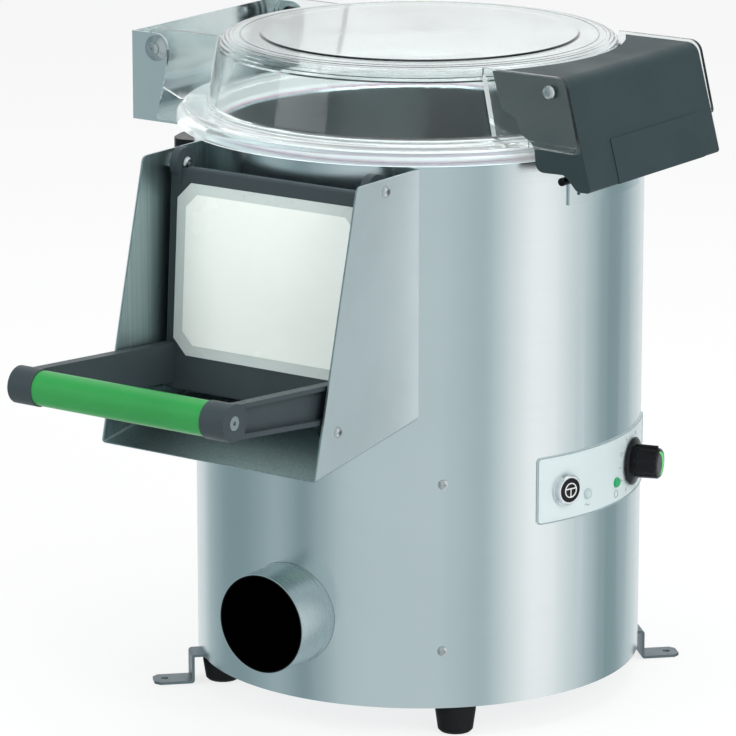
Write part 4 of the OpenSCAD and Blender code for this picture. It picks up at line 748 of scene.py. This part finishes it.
# %% The raised line tree
def line_tree():
    tree = bpy.data.node_groups.new("raised line", "GeometryNodeTree")
    face = tree.interface
    face.new_socket("Path", in_out="INPUT", socket_type="NodeSocketGeometry")
    for label, kind, value in [("Half width", "NodeSocketFloat", 0.0003),
                               ("Sides", "NodeSocketInt", 8)]:
        face.new_socket(label, in_out="INPUT", socket_type=kind).default_value = value
    face.new_socket("Finish", in_out="INPUT", socket_type="NodeSocketMaterial")
    face.new_socket("Geometry", in_out="OUTPUT", socket_type="NodeSocketGeometry")
    given = node(tree, "NodeGroupInput", (-600, 0))
    path = node(tree, "GeometryNodeMeshToCurve", (-400, 100))
    ring = node(tree, "GeometryNodeCurvePrimitiveCircle", (-400, -100))
    sweep = node(tree, "GeometryNodeCurveToMesh", (-180, 0), Fill_Caps=True)
    whole = node(tree, "GeometryNodeRealizeInstances", (20, 0))
    paint = node(tree, "GeometryNodeSetMaterial", (200, 0))
    result = node(tree, "NodeGroupOutput", (400, 0))
    wire(tree, [
        (given.outputs["Path"], path.inputs["Mesh"]),
        (given.outputs["Sides"], ring.inputs["Resolution"]),
        (given.outputs["Half width"], ring.inputs["Radius"]),
        (path.outputs["Curve"], sweep.inputs["Curve"]),
        (ring.outputs["Curve"], sweep.inputs["Profile Curve"]),
        (sweep.outputs["Mesh"], whole.inputs["Geometry"]),
        (whole.outputs["Geometry"], paint.inputs["Geometry"]),
        (given.outputs["Finish"], paint.inputs["Material"]),
        (paint.outputs["Geometry"], result.inputs["Geometry"]),
    ])
    return tree


def grow(name, seed, tree, body, slot, finish, **values):
    """Runs a tree on a seed mesh and keeps the result as a plain piece."""
    mesh = bpy.data.meshes.new(name + "_seed")
    seed.to_mesh(mesh)
    seed.free()
    carrier = bpy.data.objects.new(name + "_seed", mesh)
    bpy.context.scene.collection.objects.link(carrier)
    modifier = carrier.modifiers.new("tree", "NODES")
    modifier.node_group = tree
    for socket in tree.interface.items_tree:
        if socket.item_type == "SOCKET" and socket.in_out == "INPUT":
            if socket.name == "Finish":
                modifier[socket.identifier] = finish
            elif socket.name.replace(" ", "_") in values:
                modifier[socket.identifier] = values[socket.name.replace(" ", "_")]
    ready = carrier.evaluated_get(bpy.context.evaluated_depsgraph_get())
    grown = bpy.data.meshes.new_from_object(ready)
    bpy.data.objects.remove(carrier)
    bm = bmesh.new()
    bm.from_mesh(grown)
    bpy.data.meshes.remove(grown)
    print(name, "has", len(bm.faces), "faces")
    add_piece(name, bm, finish, body)


LINE = line_tree()
print("the tree for lines takes", [s.name for s in LINE.interface.items_tree])

# %% [markdown]
# Points on the panel are given as the dial's designer would: how far round the casing, in
# degrees, and how high, in metres. Straight runs are cut into short steps, so that they bend with
# the sheet.

# %% Points on the panel
PANEL_RADIUS = 0.2012
BUTTON, KNOB = (74.0, 0.2134), (KNOB_ANGLE, 0.2153)
WHITE_LAMP, GREEN_LAMP = (81.6, 0.204), (94.4, 0.204)
DEGREE = math.radians(PANEL_RADIUS)  # the length of one degree round the panel


def on_panel(angle, height, radius=PANEL_RADIUS):
    turn = math.radians(angle)
    return Vector((math.sin(turn) * radius, -math.cos(turn) * radius, height))


def lay_path(seed, points, closed=False, place=on_panel):
    """Adds a path's points and edges to a seed mesh."""
    made = [seed.verts.new(place(*p)) for p in points]
    pairs = list(zip(made, made[1:]))
    if closed:
        pairs.append((made[-1], made[0]))
    for a, b in pairs:
        seed.edges.new((a, b))


print("one degree round the panel is", round(DEGREE * 1000, 2), "mm")

# %% Frame line
def corner(centre, start, radius, steps=6):
    """A quarter turn in steps, from its start angle."""
    return [(centre[0] + radius / DEGREE * math.cos(math.radians(start + 90 * k / steps)),
             centre[1] + radius * math.sin(math.radians(start + 90 * k / steps)))
            for k in range(steps + 1)]


def run(a, b, steps=24):
    """The points between two corners."""
    return [(a[0] + (b[0] - a[0]) * k / steps, a[1] + (b[1] - a[1]) * k / steps)
            for k in range(1, steps)]


left, right, bottom, upper, bend = 65.45, 121.75, 0.1857, 0.2443, 0.0034
inset = bend / DEGREE
frame_line = []
corners = [((right - inset, upper - bend), 0), ((left + inset, upper - bend), 90),
           ((left + inset, bottom + bend), 180), ((right - inset, bottom + bend), 270)]
for k, (centre, start) in enumerate(corners):
    here = corner(centre, start, bend)
    following = corner(*corners[(k + 1) % 4], bend)
    frame_line += here + run(here[-1], following[0])
seed = bmesh.new()
lay_path(seed, frame_line, closed=True)
grow("panel_frame_line", seed, LINE, "machine", "panel_grey", print_blue, Half_width=0.00055)

# %% [markdown]
# Each pilot lamp has a mark below it: a wave for power and a ring for running. A grey ring round
# the white lamp is painted shade at the lens's rim. They share their seed mesh with the ticks of
# the dial, so one run of the tree makes them all.

# %% Marks under the lamps
WAVE_HALF, WAVE_RISE, WAVE_DROP = 0.0030, 0.0009, 0.0100
SIGN_DROP, SIGN_SIZE, LENS_RIM_SHADE = 0.0107, 0.0032, 0.0037


def circle(centre, radius, steps=28):
    """A ring of points on the panel, open until lay_path closes it."""
    return [(centre[0] + radius / DEGREE * math.cos(k * math.tau / steps),
             centre[1] + radius * math.sin(k * math.tau / steps)) for k in range(steps)]


seed = bmesh.new()
wave = [(WHITE_LAMP[0] + t / DEGREE * WAVE_HALF,
         WHITE_LAMP[1] - WAVE_DROP - WAVE_RISE * math.sin(t * math.pi))
        for t in [k / 8 for k in range(-8, 9)]]
lay_path(seed, wave)
lay_path(seed, circle((GREEN_LAMP[0], GREEN_LAMP[1] - SIGN_DROP), SIGN_SIZE), closed=True)
# a grey ring round the white lamp: painted shade at the lens's rim
lay_path(seed, circle(WHITE_LAMP, LENS_RIM_SHADE), closed=True)
print("the marks under the lamps have", len(seed.edges), "edges")

# %% Dial ticks
DIAL_START, DIAL_SWEEP, DIAL_STEPS = 240.0, 300.0, 10
TICK_NEAR, TICK_SHORT, TICK_LONG, TICK_ROOM = 0.0245, 0.0270, 0.0280, 0.0262

for k in range(DIAL_STEPS + 1):
    turn = math.radians(DIAL_START - DIAL_SWEEP * k / DIAL_STEPS)
    near, far = TICK_NEAR, TICK_SHORT if k % 2 else TICK_LONG
    if abs(math.sin(turn) * far) < TICK_ROOM:
        lay_path(seed, [(KNOB[0] + r / DEGREE * math.cos(turn), KNOB[1] + r * math.sin(turn))
                        for r in (near, (near + far) / 2, far)])
grow("panel_marks", seed, LINE, "machine", "panel_grey", print_grey, Half_width=0.00026)

# %% [markdown]
# The push-button carries the sign of a momentary switch: a ring with a short T inside. It rides
# on the button, so it is pressed in with the cap.

# %% Push sign
SIGN_RADIUS, BAR_HALF, BAR_HEIGHT, SUNK = 0.0062, 0.0060, 0.0014, 0.00005
STEM = (0.0012, -0.0020, -0.0060)

button_out = on_panel(BUTTON[0], 0, 1.0)
cap_reach = max(v.co.dot(button_out) for v in nodes["pulse_button"].data.vertices)
across = Vector((math.cos(math.radians(BUTTON[0])), math.sin(math.radians(BUTTON[0])), 0))


def on_cap(x, z):
    return button_out * (cap_reach - SUNK) + across * x + Vector((0, 0, BUTTON[1] + z))


seed = bmesh.new()
lay_path(seed, [(SIGN_RADIUS * math.cos(k * math.tau / 40),
                 SIGN_RADIUS * math.sin(k * math.tau / 40)) for k in range(40)],
         closed=True, place=on_cap)
lay_path(seed, [(-BAR_HALF, BAR_HEIGHT), (0.0, BAR_HEIGHT), (BAR_HALF, BAR_HEIGHT)],
         place=on_cap)
lay_path(seed, [(0.0, z) for z in STEM], place=on_cap)
grow("push_sign", seed, LINE, "button", "white_lens", print_white, Half_width=0.00055)
print("the cap's face lies", round(cap_reach * 1000, 2), "mm from the axis")

# %% [markdown]
# The same tree draws two lines that aren't print. The lid's mould leaves a fine ring round the
# raised middle, and the casing's sheet meets itself in a ground seam at the back.

# %% Mould ring
RING_RADIUS, RING_NEAR, RING_FAR, RING_SUNK = 0.1585, 0.150, 0.172, 0.0002

ring_height = max(v.co.z for v in nodes["lid_cover"].data.vertices
                  if RING_NEAR < Vector(v.co.xy).length < RING_FAR)
print("the lid's top lies at", round(ring_height * 1000, 2), "mm round its middle")
seed = bmesh.new()
lay_path(seed, [(k * 5, ring_height - RING_SUNK, RING_RADIUS) for k in range(72)], closed=True)
grow("lid_mould_ring", seed, LINE, "lid", "clear_lid", clear_lid, Half_width=0.0006)

# %% Casing seam
SEAM_ANGLE, SEAM_RADIUS, SEAM_LOW, SEAM_STEP = 196.0, 0.1991, 0.030, 0.0118

seed = bmesh.new()
lay_path(seed, [(SEAM_ANGLE, SEAM_LOW + SEAM_STEP * k, SEAM_RADIUS) for k in range(41)])
grow("casing_seam", seed, LINE, "machine", "stainless", bracket_steel, Half_width=0.0011)

# %% [markdown]
# The dial's numbers are set as text, turned into a mesh, and bent onto the panel by moving each
# of its points: what was left to right becomes an angle round the casing. The dial goes from 1
# to 5, but the panel is left bare straight above the knob, so the 3 stays off.

# %% Dial numbers
NUMBER_TURNS = {"1": 208, "2": 152, "4": 28, "5": -28}
NUMBER_REACH, NUMBER_SQUASH, NUMBER_SIZE, NUMBER_RISE = 0.0285, 0.86, 0.0042, 0.00012


def dial_number(text, angle, height):
    curve = bpy.data.curves.new("number_" + text, "FONT")
    curve.body = text
    curve.size = NUMBER_SIZE
    curve.align_x, curve.align_y = "CENTER", "CENTER"
    curve.extrude = NUMBER_RISE
    curve.resolution_u = 3
    flat = bpy.data.objects.new("number_" + text, curve)
    bpy.context.scene.collection.objects.link(flat)
    ready = flat.evaluated_get(bpy.context.evaluated_depsgraph_get())
    bm = bmesh.new()
    bm.from_mesh(bpy.data.meshes.new_from_object(ready))
    bpy.data.objects.remove(flat)
    bmesh.ops.remove_doubles(bm, verts=bm.verts, dist=0.000001)
    for vert in bm.verts:
        x, y, z = vert.co
        vert.co = on_panel(angle + x / DEGREE, height + y, PANEL_RADIUS + z)
    add_piece("dial_number_" + text, bm, print_grey, "machine")


for text, angle in NUMBER_TURNS.items():
    turn = math.radians(angle)
    dial_number(text, KNOB[0] + NUMBER_REACH / DEGREE * math.cos(turn),
                KNOB[1] + NUMBER_REACH * NUMBER_SQUASH * math.sin(turn))
print("the dial has", len(NUMBER_TURNS), "numbers")

# %% [markdown]
# The disc and the lining are coated with loose grit. A texture alone would look painted when the
# lid is open, so real grains stand on the surface: points are scattered over the coated faces
# with a fixed seed, and each gets a small crushed stone, turned and sized at random.

# %% The grit tree
SMALLEST, LARGEST = (0.55, 0.55, 0.4), (1.25, 1.0, 0.9)


def grit_tree():
    tree = bpy.data.node_groups.new("scattered grit", "GeometryNodeTree")
    face = tree.interface
    face.new_socket("Surface", in_out="INPUT", socket_type="NodeSocketGeometry")
    for label, kind, value in [("Grains per square metre", "NodeSocketFloat", 50000.0),
                               ("Grain size", "NodeSocketFloat", 0.0008),
                               ("Seed", "NodeSocketInt", 4)]:
        face.new_socket(label, in_out="INPUT", socket_type=kind).default_value = value
    face.new_socket("Finish", in_out="INPUT", socket_type="NodeSocketMaterial")
    face.new_socket("Geometry", in_out="OUTPUT", socket_type="NodeSocketGeometry")
    given = node(tree, "NodeGroupInput", (-700, 0))
    points = node(tree, "GeometryNodeDistributePointsOnFaces", (-460, 120))
    stone = node(tree, "GeometryNodeMeshIcoSphere", (-460, -120))
    turn = node(tree, "FunctionNodeRandomValue", (-460, -320), data_type="FLOAT_VECTOR")
    turn.inputs[1].default_value = (math.tau, math.tau, math.tau)
    size = node(tree, "FunctionNodeRandomValue", (-460, -520), data_type="FLOAT_VECTOR")
    size.inputs[0].default_value = SMALLEST
    size.inputs[1].default_value = LARGEST
    place = node(tree, "GeometryNodeInstanceOnPoints", (-160, 40))
    whole = node(tree, "GeometryNodeRealizeInstances", (60, 40))
    paint = node(tree, "GeometryNodeSetMaterial", (240, 40))
    result = node(tree, "NodeGroupOutput", (440, 0))
    wire(tree, [
        (given.outputs["Surface"], points.inputs["Mesh"]),
        (given.outputs["Grains per square metre"], points.inputs["Density"]),
        (given.outputs["Seed"], points.inputs["Seed"]),
        (given.outputs["Grain size"], stone.inputs["Radius"]),
        (given.outputs["Seed"], turn.inputs["Seed"]),
        (given.outputs["Seed"], size.inputs["Seed"]),
        (points.outputs["Points"], place.inputs["Points"]),
        (stone.outputs["Mesh"], place.inputs["Instance"]),
        (turn.outputs[0], place.inputs["Rotation"]),
        (size.outputs[0], place.inputs["Scale"]),
        (place.outputs["Instances"], whole.inputs["Geometry"]),
        (whole.outputs["Geometry"], paint.inputs["Geometry"]),
        (given.outputs["Finish"], paint.inputs["Material"]),
        (paint.outputs["Geometry"], result.inputs["Geometry"]),
    ])
    return tree


GRIT = grit_tree()
print("the tree for grit takes", [s.name for s in GRIT.interface.items_tree])

# %% [markdown]
# Only the disc's top and the lining's inner side are coated. The faces could be picked by hand,
# but a rule on each face's centre and normal still holds when the CAD model changes.

# %% Coated faces
HUB_RADIUS, DISC_RADIUS, DISC_LEVEL = 0.03, 0.168, 0.30
LINING_LOW, LINING_HIGH = 0.289, 0.400


def coated_faces(name, wanted):
    """A copy of a node's mesh, merged, that keeps only the faces the rule wants."""
    bm = bmesh.new()
    bm.from_mesh(nodes[name].data)
    bmesh.ops.remove_doubles(bm, verts=bm.verts, dist=0.00001)
    other = [f for f in bm.faces if not wanted(f.calc_center_median(), f.normal)]
    bmesh.ops.delete(bm, geom=other, context="FACES")
    return bm


def on_disc_top(centre, normal):
    reach = Vector(centre.xy).length
    return normal.z > 0.3 and HUB_RADIUS < reach < DISC_RADIUS and centre.z > DISC_LEVEL


def in_lining(centre, normal):
    faces_the_axis = Vector(centre.xy).dot(normal.xy) < -0.1
    return faces_the_axis and LINING_LOW < centre.z < LINING_HIGH


grow("disc_grit", coated_faces("peeling_disc", on_disc_top), GRIT, "disc", "disc_cast", grit,
     Grains_per_square_metre=80000.0, Grain_size=0.0009, Seed=7)
grow("lining_grit", coated_faces("abrasive_liner", in_lining), GRIT, "machine", "abrasive", grit,
     Grains_per_square_metre=60000.0, Grain_size=0.0008, Seed=11)
